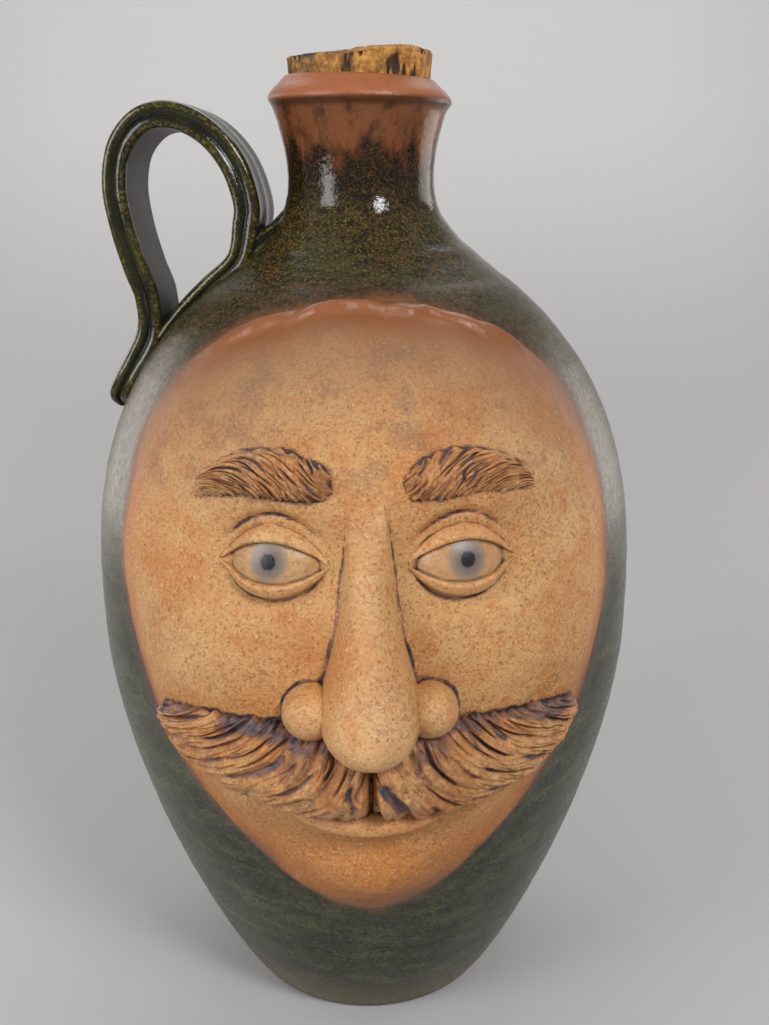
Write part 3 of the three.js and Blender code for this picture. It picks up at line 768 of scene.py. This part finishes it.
def rgb(*levels):
    """A colour given as it looks on a screen, from 0 to 255, as the linear one that a shader needs."""
    shares = [c / 255 for c in levels]
    return (*(s / 12.92 if s <= 0.04045 else ((s + 0.055) / 1.055) ** 2.4 for s in shares), 1.0)


CLAY = rgb(199, 151, 98)
CLAY_PALE = rgb(212, 172, 120)
CLAY_ORANGE = rgb(187, 115, 54)
CLAY_BROWN = rgb(138, 90, 54)
CLAY_DUSKY = rgb(122, 92, 72)
CLAY_RUST = rgb(138, 84, 50)
CLAY_MAUVE = rgb(118, 86, 72)
SPECK = rgb(74, 48, 32)
PALE_GROG_AND_GLINT = rgb(228, 202, 166)
RIDGE_BROWN = rgb(158, 100, 54)
RIDGE_DUSKY = rgb(108, 80, 74)
OXIDE = rgb(44, 39, 45)
OXIDE_BLUE = rgb(92, 91, 102)
OXIDE_THIN = rgb(118, 78, 60)
EYE_PALE = rgb(168, 136, 100)
IRIS = rgb(74, 78, 86)
IRIS_EDGE = rgb(128, 120, 108)
PUPIL = rgb(20, 21, 26)
GLAZE_DARK = rgb(27, 30, 18)
GLAZE_GREEN = rgb(58, 62, 38)
GLAZE_PALE = rgb(104, 104, 66)
GLAZE_FOOT = rgb(92, 74, 44)
GLAZE_OLIVE = rgb(86, 75, 30)
GLAZE_BROWN = rgb(82, 52, 30)
GLAZE_BLACK_AND_SHADE = rgb(24, 18, 14)
GLAZE_FRINGE = rgb(72, 50, 42)
SHOULDER_DARK = rgb(28, 23, 14)
SHOULDER_BROWN = rgb(80, 54, 34)
SHOULDER_FLECK = rgb(136, 122, 62)
LIP_RED = rgb(154, 94, 62)
NECK_RED = rgb(118, 70, 38)
NECK_DARK = rgb(70, 38, 20)
STRAP_DARK = rgb(18, 20, 11)
STRAP_GREEN = rgb(38, 42, 20)
STRAP_FLECK = rgb(100, 88, 34)
CORK_BROWN = rgb(150, 97, 42)
CORK_PALE = rgb(204, 148, 72)
CORK_PATCH = rgb(104, 70, 38)
CORK_STAIN = rgb(84, 66, 42)
CORK_PORE = rgb(52, 36, 24)

# Heights on the jug in metres, as the node materials need them
GLOSSY_FROM = (0.222, 0.24)
ROLLED_CLAY = (0.2, 0.212)
UNDER_LIP = (0.2695, 0.2712)
LIP_FROM = (0.2718, 0.2732)
WIPED_FOOT = (0.0016, 0.0009)
GLAZE_IOR = 1.37
STRAP_IOR = 1.42


def clay_colour(s, edge=0.0):
    """Speckled stoneware with oxide in its hollows, as colour, bump and roughness."""
    up = s.height()
    grain = s.noise(0.9, 5, 0.75)
    specks = s.noise(0.62, 2, 0.55)
    # Pale specks that are partly the clay's real grog and partly painted highlight where the clay glints
    glint = s.steps(s.noise(0.8, 2, 0.4), 0.69, 0.76)
    smear = s.times(s.steps(s.noise(11, 5, 0.7), 0.5, 0.64, 0, 0.42), s.steps(up, 0.165, 0.19))
    blotch = s.times(s.steps(s.noise(26, 3), 0.45, 0.6), s.steps(s.noise(1.6, 4, 0.7), 0.5, 0.62), 0.5)
    share = s.steps(s.noise(7, 3, 0.6), 0.36, 0.6, 0.55, 1.25)
    worn = s.plus(s.times(s.value("wash"), share), s.swing(s.noise(2.2, 5, 0.75), 1.3))
    pooled = s.times(s.steps(worn, 0.85, 1.15), s.steps(s.noise(3.0, 2), 0.42, 0.6))
    shade = s.coats(
        CLAY,
        (CLAY_ORANGE, s.noise(30, 3, 0.55), 0.4, 0.68, 0.6),
        (CLAY_PALE, s.noise(19, 3, 0.5, warp=0.3), 0.5, 0.75, 0.7),
        (CLAY_ORANGE, edge),
        (CLAY_ORANGE, s.noise(9, 4, 0.6, warp=0.5), 0.5, 0.66, 0.5),
        (CLAY_ORANGE, up, 0.116, 0.066, 0.8),
        (CLAY_MAUVE, smear),
        (CLAY_ORANGE, s.noise(3.2, 4, 0.6), 0.44, 0.3, 0.65),
        (CLAY_BROWN, blotch),
        (CLAY_BROWN, grain, 0.48, 0.35, 0.8),
        (CLAY_PALE, grain, 0.54, 0.66, 0.7),
        (SPECK, specks, 0.63, 0.7, 0.6),
        # Painted highlight: pale glint specks laid over the clay's real grog
        (PALE_GROG_AND_GLINT, s.times(glint, 0.7)),
        (OXIDE_THIN, worn, 0.16, 0.62, 0.85),
        (OXIDE, worn, 0.52, 0.95, 0.95),
        (OXIDE_BLUE, s.times(pooled, 0.7)),
    )
    rough = s.minus(s.plus(s.times(grain, 0.3), 0.34), s.times(s.math("MAXIMUM", pooled, glint), 0.22))
    return shade, s.plus(s.times(grain, 0.65), s.times(specks, 0.35)), rough


def glaze_colour(s):
    """Dark green glaze with a fine speckle: browner on the shoulder, near black round the neck, red above."""
    up = s.height()
    drift = s.noise(15, 4, 0.6, warp=0.4)
    speckle = s.noise(0.7, 4, 0.7)
    fine = s.noise(1.8, 5, 0.65)
    small = s.noise(1.0, 5, 0.75)
    lines = s.noise(2.8, 5, 0.72, (0.45, 0.45, 2))
    brushed = s.noise(8, 3, 0.5, (0.6, 0.6, 1.8))
    wander = s.plus(up, s.swing(s.noise(7, 5, 0.65, (1, 1, 0.4)), 0.04))
    olive = s.plus(small, s.steps(up, 0.236, 0.256, 0.07, -0.04))
    red = s.steps(wander, 0.2555, 0.2645)
    warm = s.coats(
        SHOULDER_DARK,
        (GLAZE_OLIVE, small, 0.47, 0.61),
        (SHOULDER_BROWN, lines, 0.49, 0.59, 0.8),
        (GLAZE_GREEN, drift, 0.5, 0.64, 0.5),
        (GLAZE_BLACK_AND_SHADE, lines, 0.45, 0.37, 0.85),
        (GLAZE_BLACK_AND_SHADE, speckle, 0.48, 0.36, 0.8),
        (SHOULDER_FLECK, speckle, 0.57, 0.68, 0.75),
    )
    deep = s.coats(GLAZE_BLACK_AND_SHADE, (GLAZE_BROWN, speckle, 0.5, 0.66), (GLAZE_OLIVE, olive, 0.52, 0.66, 0.8))
    rust = s.coats(
        NECK_DARK,
        (NECK_RED, s.noise(4, 5, 0.6, (1, 1, 0.6)), 0.3, 0.56),
        (NECK_DARK, up, *UNDER_LIP, 0.8),
        (LIP_RED, up, *LIP_FROM),
        (NECK_DARK, speckle, 0.46, 0.34, 0.3),
    )
    shade = s.coats(
        GLAZE_DARK,
        (GLAZE_GREEN, s.plus(s.times(drift, 0.4), s.times(fine, 0.6)), 0.4, 0.6),
        (GLAZE_DARK, brushed, 0.5, 0.68, 0.4),
        (GLAZE_PALE, s.times(s.steps(brushed, 0.5, 0.34), s.steps(speckle, 0.4, 0.6, 0, 0.5))),
        (GLAZE_PALE, speckle, 0.54, 0.66, 0.6),
        (GLAZE_DARK, fine, 0.46, 0.34, 0.5),
        (GLAZE_FOOT, s.plus(up, s.times(drift, 0.02)), 0.032, 0.014, 0.75),
        (warm, s.times(s.steps(up, 0.165, 0.215), 0.9)),
        (deep, wander, 0.236, 0.25, 0.9),
        (rust, red),
    )
    return shade, fine, speckle, red, up


def stoneware(name):
    """The body and the panel alike: glaze, with bare clay inside the panel's edge and under the foot."""
    s = Shader(name)
    glaze, fine, speckle, red, up = glaze_colour(s)
    depth = s.value("inside")
    wandering = s.minus(s.times(s.noise(20, 2), 6), s.steps(up, 0.06, 0.095, 6.3, 3.8))
    inside = s.plus(depth, wandering, s.swing(s.noise(8, 5, 0.65), 4), s.swing(s.noise(1.6, 4, 0.7), 2.4))
    clay, clay_bump, clay_rough = clay_colour(s, s.steps(inside, 15, 2))
    clay = s.coats(
        clay,
        (CLAY_DUSKY, s.times(s.steps(up, 0.16, 0.215), s.steps(inside, 40, 6), 0.7)),
        (CLAY_MAUVE, s.times(s.steps(inside, 7, 0, 0, 0.85), s.steps(s.noise(24, 2), 0.36, 0.54, 0.15, 1))),
        (CLAY_RUST, s.times(s.steps(inside, 11, 5), s.steps(up, 0.196, 0.212), 0.85)),
    )
    rolled = s.times(s.steps(depth, 7, 4), s.steps(up, *ROLLED_CLAY))
    clay_rough = s.mix(rolled, clay_rough, (0.16, 0.16, 0.16, 1))
    fringe = s.times(s.steps(inside, -9, -1), s.steps(speckle, 0.36, 0.6, 0.4, 0.95))
    fringe = s.times(fringe, s.steps(up, 0.075, 0.12, 0.25, 1), s.steps(up, 0.185, 0.21, 1, 0.5))
    foot = s.plus(up, s.times(fine, 0.0012))
    bare = s.math("MAXIMUM", s.steps(inside, -3, 2.6), s.steps(foot, *WIPED_FOOT))
    shade = s.coats(glaze, (GLAZE_FRINGE, fringe), (clay, bare))
    glaze_rough = s.plus(s.steps(up, *GLOSSY_FROM, 0.27, 0.05), s.times(red, 0.07))
    patchy = s.times(s.minus(fine, 0.5), s.steps(up, *GLOSSY_FROM, 0.6, 0.1))
    glaze_rough = s.math("ADD", glaze_rough, patchy, clamp=True)
    rough = s.add("Mix", {0: bare, 2: glaze_rough, 3: clay_rough}).outputs[0]
    normal = s.bump(s.times(s.noise(3.4, 4, 0.62), s.steps(up, *GLOSSY_FROM, 1, 2.6)), 0.08)
    coarse = s.plus(s.steps(up, 0.225, 0.24, 1.8, 0.15), s.steps(up, 0.266, 0.272, 0, 2.6))
    normal = s.bump(s.times(s.plus(s.times(speckle, 0.6), s.times(fine, 0.4)), coarse), 0.08, normal)
    grit = s.times(clay_bump, bare, s.minus(1, s.times(rolled, 0.8)))
    return s.finish(shade, rough, s.bump(grit, 0.52, normal), GLAZE_IOR)


def bare_clay(name):
    s = Shader(name)
    shade, bumps, rough = clay_colour(s)
    return s.finish(shade, rough, s.bump(bumps, 0.36))


def carved_clay(name):
    """The brows and the moustache: coarser clay, browner on its ridges and blue-grey in its cuts."""
    s = Shader(name)
    shade, bumps, rough = clay_colour(s)
    blue = s.times(s.steps(s.value("wash"), 0.5, 0.95), s.steps(s.noise(1.4, 5, 0.75), 0.42, 0.58, 0.1, 0.75))
    shade = s.coats(
        shade,
        (RIDGE_BROWN, s.noise(3.2, 4, 0.65), 0.42, 0.58, 0.6),
        (RIDGE_DUSKY, s.noise(4.5, 4, 0.7, warp=0.4), 0.56, 0.68, 0.5),
        (OXIDE_BLUE, blue),
    )
    return s.finish(shade, rough, s.bump(bumps, 0.5))


def eye_clay(name):
    s = Shader(name)
    shade, bumps, _ = clay_colour(s)
    radius = s.plus(s.value("from_pupil"), s.swing(s.noise(1.3, 3), 1.0))
    iris = s.mix(s.steps(radius, 1.8, 4.6), IRIS, IRIS_EDGE)
    shade = s.coats(shade, (EYE_PALE, 0.45), (iris, radius, 5.4, 3.8, 0.8), (PUPIL, radius, 2.1, 1.5))
    return s.finish(shade, 0.34, s.bump(bumps, 0.12))


def handle_glaze(name):
    s = Shader(name)
    fine = s.noise(1.0, 5, 0.7)
    ridge = s.value("ridge")
    rib = s.plus(ridge, s.swing(s.noise(5, 4, 0.6), 0.7))
    shade = s.coats(
        STRAP_DARK,
        (STRAP_GREEN, s.noise(13, 3, 0.5), 0.35, 0.7),
        (STRAP_FLECK, s.times(s.steps(fine, 0.44, 0.62), s.steps(rib, 0.8, 1.15))),
        (GLAZE_BROWN, fine, 0.44, 0.33, 0.6),
        # Painted shade: darker in the strap's grooves and on its inner face, which faces the jug
        (GLAZE_BLACK_AND_SHADE, ridge, 0.3, 0, 0.4),
    )
    normal = s.bump(fine, 0.05, s.bump(s.noise(4, 3), 0.12))
    return s.finish(shade, s.steps(ridge, -0.4, 0, 0.45, 0.09), normal, STRAP_IOR)


def cork_wood(name):
    s = Shader(name)
    grain = s.noise(1.2, 5, 0.7, (1, 1, 0.7))
    pore = s.value("pore")
    shade = s.coats(
        CORK_BROWN,
        (CORK_PALE, grain, 0.38, 0.62),
        (CORK_PATCH, s.noise(5, 3, 0.6), 0.44, 0.66, 0.7),
        (CORK_STAIN, s.times(s.value("stain"), s.steps(s.noise(1.5, 5, 0.7), 0.4, 0.58), 0.85)),
        (CORK_PORE, pore, 0.1, 0.5, 0.95),
    )
    return s.finish(shade, 0.85, s.bump(s.minus(grain, s.times(pore, 0.8)), 0.5))


# Each look is a material and the record's slot for it
LOOKS = {
    "body": (stoneware("glazed_stoneware"), "glazed_stoneware"),
    "panel": (stoneware("bare_clay_panel"), "bare_clay"),
    "clay": (bare_clay("bare_clay"), "bare_clay"),
    "carved": (carved_clay("oxide_washed_clay"), "oxide_washed_clay"),
    "eye": (eye_clay("eye_clay"), "eye_clay"),
    "strap": (handle_glaze("glazed_strap"), "glazed_stoneware"),
    "cork": (cork_wood("cork"), "cork"),
}

# The thrown body


def inside_of(across, up):
    """How far inside the panel's edge a place lies, in millimetres, and below zero outside it."""
    lower = min(FACE_HALF_WIDTH, WIDEST - CHIN_HEIGHT)
    upper = min(FACE_HALF_WIDTH, FACE_TOP - WIDEST)
    return (1 - rim_at(across, up)) * lerp(lower, upper, ramp(up, WIDEST - 20, WIDEST + 20))


LIP_SHAPE = ((-0.4, -0.9), (-0.08, -0.4), (0, 0), (-0.25, 0.62), (-0.9, 1.35))


def body_outline():
    outer = body_curves(220)
    outer = outer[outer[:, 1] > FOOT_ROUND]
    under = BASE_RADIUS - FOOT_ROUND - 0.6
    foot = [(0, 0), (BASE_RADIUS * 0.5, 0)]
    foot_round = bezier([(under, 0), (BASE_RADIUS - 0.3, 0), outer[0]], 8)
    flare_height = LIP_EDGE - LIP_UNDERCUT
    half_way = (NECK_RADIUS, (NECK_HEIGHT + flare_height) / 2)
    flare = bezier([(NECK_RADIUS, NECK_HEIGHT), half_way, (NECK_RADIUS + LIP_FLARE, flare_height)], 30)
    lip = catmull([(LIP_RADIUS + LIP_ROLL * out, LIP_EDGE + LIP_ROLL * up) for out, up in LIP_SHAPE], 8)
    edge = JUG_HEIGHT - RIM_ROUND
    rim = [(MOUTH_RADIUS + RIM_ROUND, edge), (MOUTH_RADIUS + 0.2, JUG_HEIGHT), (MOUTH_RADIUS, edge)]
    inner = body_curves(60)
    inner = inner - WALL * normals_of(inner)
    inner = inner[(inner[:, 0] > NECK_BORE) & (inner[:, 1] < NECK_HEIGHT)]
    inner = inner[inner[:, 1] > BASE_THICKNESS + INNER_CORNER][::-1]
    low = inner[-1, 0]
    corner = INNER_CORNER / 3
    bend = [(low - corner, BASE_THICKNESS + corner), (low - INNER_CORNER, BASE_THICKNESS)]
    mouth = [(MOUTH_RADIUS - MOUTH_TAPER * MOUTH_DEPTH, MOUTH_BOTTOM), (NECK_BORE, MOUTH_BOTTOM - WALL)]
    outside = joined(foot, foot_round, outer[1:], flare[1:], lip, bezier(rim, 8))
    return resample(outside, 1.05), resample(joined(mouth, inner, bend, [(0, BASE_THICKNESS)]), 5)


LIP_DIP = 0.8
BODY_SIDES = 300


def thrown_body():
    outside, inside = body_outline()
    line = joined(outside, inside)
    normals = normals_of(line)
    turn = full_turn(BODY_SIDES)
    radius = line[:, :1] + 0 * turn
    up = line[:, 1:] + 0 * turn
    is_outside = (np.arange(len(line)) < len(outside))[:, None]
    across = ((turn - FACE_TURN + np.pi) % (2 * np.pi) - np.pi) * BELLY_RADIUS
    inside_panel = inside_of(across, up)
    free = 1 - ramp(inside_panel, -6, 0)
    rings = 0.07 * noise(up / 3.1 + turn / 9, 2.2) + 0.03 * noise(up / 0.9, 5.5)
    rings = rings * ramp(up, 6, 30) * (1 + 1.5 * ramp(up, 190, 215))
    sway = 0.12 * noise(2 * np.cos(turn), 2 * np.sin(turn), up / 50)
    push = np.where(is_outside, (rings - 0.35 + sway) * free * (up > FOOT_ROUND), 0)
    radius = radius + push * normals[:, :1]
    up = up + push * normals[:, 1:]
    dip = LIP_DIP * (1 + np.sin(turn)) * ramp(up, LIP_EDGE - 6, LIP_EDGE)
    up = up - np.where(line[:, 1:] > MOUTH_BOTTOM, dip, 0)
    faces = grid_faces(len(line), BODY_SIDES, closed=True)
    values = {"inside": np.where(is_outside, inside_panel, -50), "wash": 0 * radius}
    new_piece("jug_body_skin", around(radius, turn, up), faces, values, "body", "jug_body")


def add_slab(name, shape, look, *nodes):
    across, up, out, back, *own = shape
    faces = slab_faces(*across.shape)
    if (across[0, 0] > across[0, -1]) != (up[0, 0] > up[-1, 0]):
        faces = faces[:, ::-1]
    wash = oxide(across, up, out)
    if own:
        wash = np.maximum(wash * 0.55, own[0])
    values = {"wash": [wash] * 2, "inside": [inside_of(across, up)] * 2}
    new_piece(name, [place(across, up, out), place(across, up, back)], faces, values, look, *nodes)


def add_ball(node, look, gaze=None):
    across, up, out = shapes[node]
    values = {"wash": oxide(across, up, out)}
    if gaze is not None:
        values["from_pupil"] = np.hypot(across - gaze[0], up - gaze[1])
        values["wash"] = 1 - ramp(lid_gap(across, up), 0, 1.0)
    faces = grid_faces(*across.shape, closed=True)
    new_piece(node + "_piece", place(across, up, out), faces, values, look, node)


# The handle


def strap_section(half_width, half_thickness, groove_depth, count=14):
    """Points round the strap, ribbed outside and grooved along its edges, and how far each is a ridge."""
    groove = 1 - groove_depth / half_width
    flat = 0.86
    ribs = np.linspace(0, 1, 4 * count + 1)
    wave = np.cos(4 * np.pi * ribs)
    rib_height = 1 + STRAP_RIB / half_thickness * (wave - 1) / 2
    outer = stacked((2 * ribs - 1) * flat, rib_height, (wave + 1) / 2)
    corners = [
        (flat, 1, 0.8), (0.965, 0.86, 1), (1, 0.52, 1), (0.975, 0.2, 0.5), (groove, 0, 0),
        (0.975, -0.2, 0.5), (1, -0.52, 1), (0.965, -0.86, 1), (flat, -1, 0.7),
    ]
    edge = catmull(corners, 5)[1:-1]
    inner = stacked(np.linspace(flat, -flat, 2 * count), np.full(2 * count, -1.0), np.full(2 * count, -0.5))
    ring = joined(outer, edge, inner, edge * (-1, -1, 1))
    return ring[:, 0] * half_width, ring[:, 1] * half_thickness, ring[:, 2]


def strap(stations, count, groove_depth):
    """A strap swept through stations of radius, height, thickness, width and wrap round the jug."""
    line = catmull(stations, 12)
    along = length_along(line)
    wanted = np.linspace(0, along[-1], count)
    radius, up, thickness, width, wrap = (np.interp(wanted, along, line[:, k]) for k in range(5))
    tangent = np.gradient(stacked(radius, up), axis=0)
    tangent /= np.linalg.norm(tangent, axis=1, keepdims=True)
    rings, ridges = [], []
    for k in range(count):
        across, out, ridge = strap_section(width[k] / 2, thickness[k] / 2, groove_depth)
        uneven = 0.12 * noise(across / 9, wanted[k] / 11, 3.0)
        out = out + np.sign(out) * uneven
        r = radius[k] + out * tangent[k, 1]
        z = up[k] - out * tangent[k, 0]
        share = unit(wrap[k])
        turn = across / r
        x = lerp(r, r * np.cos(turn), share)
        y = lerp(across, r * np.sin(turn), share)
        rings.append(stacked(x, -y, z))
        ridges.append(ridge)
    x, y, z = np.moveaxis(np.array(rings), -1, 0)
    cos, sin = math.cos(HANDLE_TURN), math.sin(HANDLE_TURN)
    return stacked(cos * x - sin * y, sin * x + cos * y, z), np.array(ridges)


def on_wall(up, thickness, width=STRAP_END_WIDTH, sink=STRAP_SINK):
    radius, outward, upward = wall_at(up)
    out = thickness / 2 - sink
    return (radius + out * outward, up + out * upward, thickness, width, 1)


def capped(points, ridges, start):
    """A swept strap's points, values and faces, with a fan closing each end."""
    rings, sides = points.shape[:2]
    faces = [list(f) for f in grid_faces(rings, sides, start, closed=True, flip=True)]
    ends = [points[0].mean(0), points[-1].mean(0)]
    first, last = start + rings * sides, start + rings * sides + 1
    for k in range(sides):
        after = (k + 1) % sides
        faces.append([first, start + k, start + after])
        faces.append([last, start + (rings - 1) * sides + after, start + (rings - 1) * sides + k])
    return joined(points.reshape(-1, 3), ends), joined(ridges.ravel(), [0.5, 0.5]), faces


# The strip of clay under the handle's foot: place up, thickness, share of the strap's width, sink
STRIP = (
    (-10, 2, 0.8, 1.6), (-5, FOOT_THICKNESS, 0.9, 1.8), (0, FOOT_THICKNESS, 0.9, 1.5),
    (5, 3, 0.8, 1.8), (10, 2, 0.6, 2.4),
)


def handle():
    foot = JUG_HEIGHT - HANDLE_FOOT_DROP
    landing = JUG_HEIGHT - HANDLE_LANDING_DROP
    top = JUG_HEIGHT - HANDLE_TOP_DROP
    stations = [
        on_wall(landing - HANDLE_TAIL - 0.5, 0.5 * TIP_THICKNESS, 0.25 * STRAP_END_WIDTH),
        on_wall(landing - HANDLE_TAIL, TIP_THICKNESS, 0.5 * STRAP_END_WIDTH),
        on_wall(landing - 0.87 * HANDLE_TAIL, TAIL_THICKNESS, 0.86 * STRAP_END_WIDTH),
        on_wall(landing - 0.6 * HANDLE_TAIL, TAIL_THICKNESS),
        on_wall(landing, STRAP_THICKNESS),
    ]
    for i, (reach, rise) in enumerate(LOOP):
        width = lerp(STRAP_END_WIDTH, STRAP_WIDTH, i / len(LOOP))
        at = (NECK_RADIUS + reach * HANDLE_REACH, landing + rise * (top - landing))
        stations.append((*at, STRAP_THICKNESS, width, 0))
    for share, wrap in ((0.15, 0.3), (0.4, 0.8), (0.6, 1), (0.8, 1), (0.95, 1)):
        thickness = lerp(0.9 * STRAP_THICKNESS, FOOT_THICKNESS, share)
        width = lerp(STRAP_WIDTH, STRAP_END_WIDTH, share)
        sink = thickness / 2 + lerp(-0.2, 1, share)
        stations.append((*on_wall(lerp(foot, landing, share), thickness, width, sink)[:4], wrap))
    strip = [on_wall(foot + rise, thick, share * STRAP_WIDTH, sink) for rise, thick, share, sink in STRIP]
    loop_points, loop_ridges, loop_faces = capped(*strap(stations, 320, 0.8 * STRAP_GROOVE), 0)
    strip_points, strip_ridges, strip_faces = capped(*strap(strip, 70, 0), len(loop_points))
    values = {"ridge": joined(loop_ridges, strip_ridges)}
    points = joined(loop_points, strip_points)
    new_piece("handle_strap", points, loop_faces + strip_faces, values, "strap", "handle")


# The cork

CORK_CHIP_TURN = math.radians(35)
CORK_CHIP_DEPTH = 2.4
CORK_CHIP_WIDTH = 11
CORK_EDGE = 1.2
CORK_SIDES = 260


def stopper():
    low = MOUTH_RADIUS - 0.3 - MOUTH_TAPER * (JUG_HEIGHT - CORK_BOTTOM)
    high = CORK_RADIUS
    corners = [
        (0, CORK_BOTTOM), (low - CORK_EDGE, CORK_BOTTOM), (low, CORK_BOTTOM + CORK_EDGE),
        (high, CORK_TOP - CORK_EDGE), (high - CORK_EDGE / 2, CORK_TOP - 0.2), (high - CORK_EDGE, CORK_TOP),
        (0, CORK_TOP),
    ]
    outline = resample(np.array(corners, float), 0.5)
    turn = full_turn(CORK_SIDES)
    radius = outline[:, :1] + 0 * turn
    up = outline[:, 1:] + 0 * turn
    x, y = radius * np.sin(turn), -radius * np.cos(turn)
    normals = normals_of(outline)
    streak = cloud(x / 1.7, y / 1.7, up / 9, 3)
    where = cloud(x / 7 + 4, y / 7, up / 11, 2)
    pore = ramp(streak, -0.1, 0.3) * ramp(where, -0.2, 0.1)
    crumble = 0.5 + 0.5 * cloud(x / 2.3, y / 2.3, up / 2.3, 3)
    push = -(0.05 + 0.9 * pore + 0.25 * crumble)
    radius = np.clip(radius + push * normals[:, :1], 0, None)
    top = ramp(up, CORK_TOP - 2.5, CORK_TOP)
    side_way = -x * math.cos(CORK_CHIP_TURN) - y * math.sin(CORK_CHIP_TURN)
    chip = CORK_CHIP_DEPTH * ramp(side_way, high - 1.4 * CORK_CHIP_WIDTH, high - 0.7 * CORK_CHIP_WIDTH)
    worn = chip + 0.9 * ramp(cloud(x / 6, y / 6, 2.0), -0.1, 0.8) + 0.5 * crumble + 0.8 * pore
    up = up - top * worn + 0.2 * (1 - top) * push * normals[:, 1:]
    faces = grid_faces(len(outline), CORK_SIDES, closed=True)
    values = {"pore": pore, "stain": ramp(0.6 * where - x / high, 0, 0.6)}
    new_piece("cork_stopper", around(radius, turn, up), faces, values, "cork", "cork", body="cork")


# Putting the jug together

SIDES = {"left": -1, "right": 1}
LAID_IN_PAIRS = {
    "upper_eyelid_": "clay", "lower_eyelid_": "clay", "eyebrow_": "carved", "moustache_": "carved",
}
shapes = {"panel": panel(), "nose": nose(), "lower_lip": lower_lip()}
for where, side in SIDES.items():
    shapes["upper_eyelid_" + where] = lid(side, 1)
    shapes["lower_eyelid_" + where] = lid(side, -1)
    shapes["eyebrow_" + where] = brow(side)
    shapes["moustache_" + where] = moustache(side)
    across = side * (NOSE_HALF_WIDTH + NOSTRIL_RADIUS / 4)
    up = NOSE_BASE + NOSTRIL_RADIUS
    sizes = (NOSTRIL_RADIUS, NOSTRIL_RADIUS, NOSTRIL_STAND_OUT)
    shapes["nostril_" + where] = ball(across, up, float(relief(across, up)), sizes, seed=side * 3.0)
    shapes["eyeball_" + where] = ball(side * EYE_SPACING, EYE_LEVEL, EYEBALL_OUT, EYEBALL, uneven=0)

settled = settle_map()
thrown_body()
add_slab("face_panel", shapes["panel"], "panel", "forehead", "cheek_left", "cheek_right", "chin")
add_slab("nose_piece", shapes["nose"], "clay", "nose")
add_slab("lower_lip_piece", shapes["lower_lip"], "clay", "lower_lip")
for where, side in SIDES.items():
    for part, look in LAID_IN_PAIRS.items():
        add_slab(part + where + "_piece", shapes[part + where], look, part + where)
    add_ball("nostril_" + where, "clay")
    add_ball("eyeball_" + where, "eye", gaze=(side * EYE_SPACING, EYE_LEVEL + 1.0))
handle()
stopper()

# Floor, light and camera

# The floor and backdrop are one pale cloth; the floor's darker grey is painted shade
SHADED_FLOOR_GREY = rgb(178, 178, 180)
BACKDROP_GREY = rgb(218, 218, 219)


def floor_and_backdrop():
    s = Shader("pale_floor")
    # Painted shade: darker on the floor, fading to the cloth's own pale grey up the backdrop
    material = s.finish(s.mix(s.steps(s.height(), 0.02, 0.35), SHADED_FLOOR_GREY, BACKDROP_GREY), 0.9)
    half_width, front, back, top, bend = 1600, -900, 750, 1500, 350
    corner = bezier([(back - bend, 0), (back, 0), (back, bend)], 24)
    line = joined([(front, 0)], corner, [(back, top)])
    points = [(x, y, z) for y, z in line for x in (-half_width, half_width)]
    faces = [(2 * k, 2 * k + 1, 2 * k + 3, 2 * k + 2) for k in range(len(line) - 1)]
    floor = new_mesh("floor", points, faces, material)


def lamp(name, place_mm, aim_mm, size_mm, watts, tint=(1, 1, 1)):
    light = bpy.data.lights.new(name, "AREA")
    light.shape = "RECTANGLE"
    light.size, light.size_y = size_mm[0] * MM, size_mm[1] * MM
    light.energy = watts
    light.color = tint
    holder = bpy.data.objects.new(name, light)
    at = Vector(place_mm) * MM
    holder.location = at
    holder.rotation_euler = (Vector(aim_mm) * MM - at).to_track_quat("-Z", "Y").to_euler()
    scene.collection.objects.link(holder)


WARM = (1, 0.93, 0.86)

floor_and_backdrop()
lamp("key", (330, -560, 640), (0, 0, 150), (200, 200), 3.9)
lamp("window", (-540, -430, 400), (0, 0, 160), (230, 480), 2.9)
lamp("behind", (0, 560, 820), (0, 0, 200), (800, 300), 1.8)
lamp("side_left", (-640, 400, 180), (0, 0, 150), (420, 520), 1.75, WARM)
lamp("side_right", (640, 400, 180), (0, 0, 150), (420, 520), 1.75, WARM)

ROOM_LIGHT = (1.0, 0.97, 0.92, 1)
ROOM_STRENGTH = 0.34

world = bpy.data.worlds.new("soft_room")
world.use_nodes = True
background = world.node_tree.nodes["Background"]
background.inputs[0].default_value = ROOM_LIGHT
background.inputs[1].default_value = ROOM_STRENGTH
scene.world = world
scene.view_settings.view_transform = "Standard"

PHOTO_HEIGHT = 1025
FOCAL_PIXELS = 1094
CAMERA_AT = (6.1, -327.6, 250.3)
CAMERA_DOWN = math.radians(16.74)
CAMERA_ROLL = math.radians(-0.4)

camera_data = bpy.data.cameras.new("camera")
camera_data.sensor_width = 36
camera_data.lens = 36 * FOCAL_PIXELS / PHOTO_HEIGHT
camera_data.clip_start = 0.01
camera = bpy.data.objects.new("camera", camera_data)
tilt = Matrix.Rotation(math.pi / 2 - CAMERA_DOWN, 4, "X") @ Matrix.Rotation(CAMERA_ROLL, 4, "Z")
camera.matrix_world = Matrix.Translation(Vector(CAMERA_AT) * MM) @ tilt
scene.collection.objects.link(camera)
scene.camera = camera
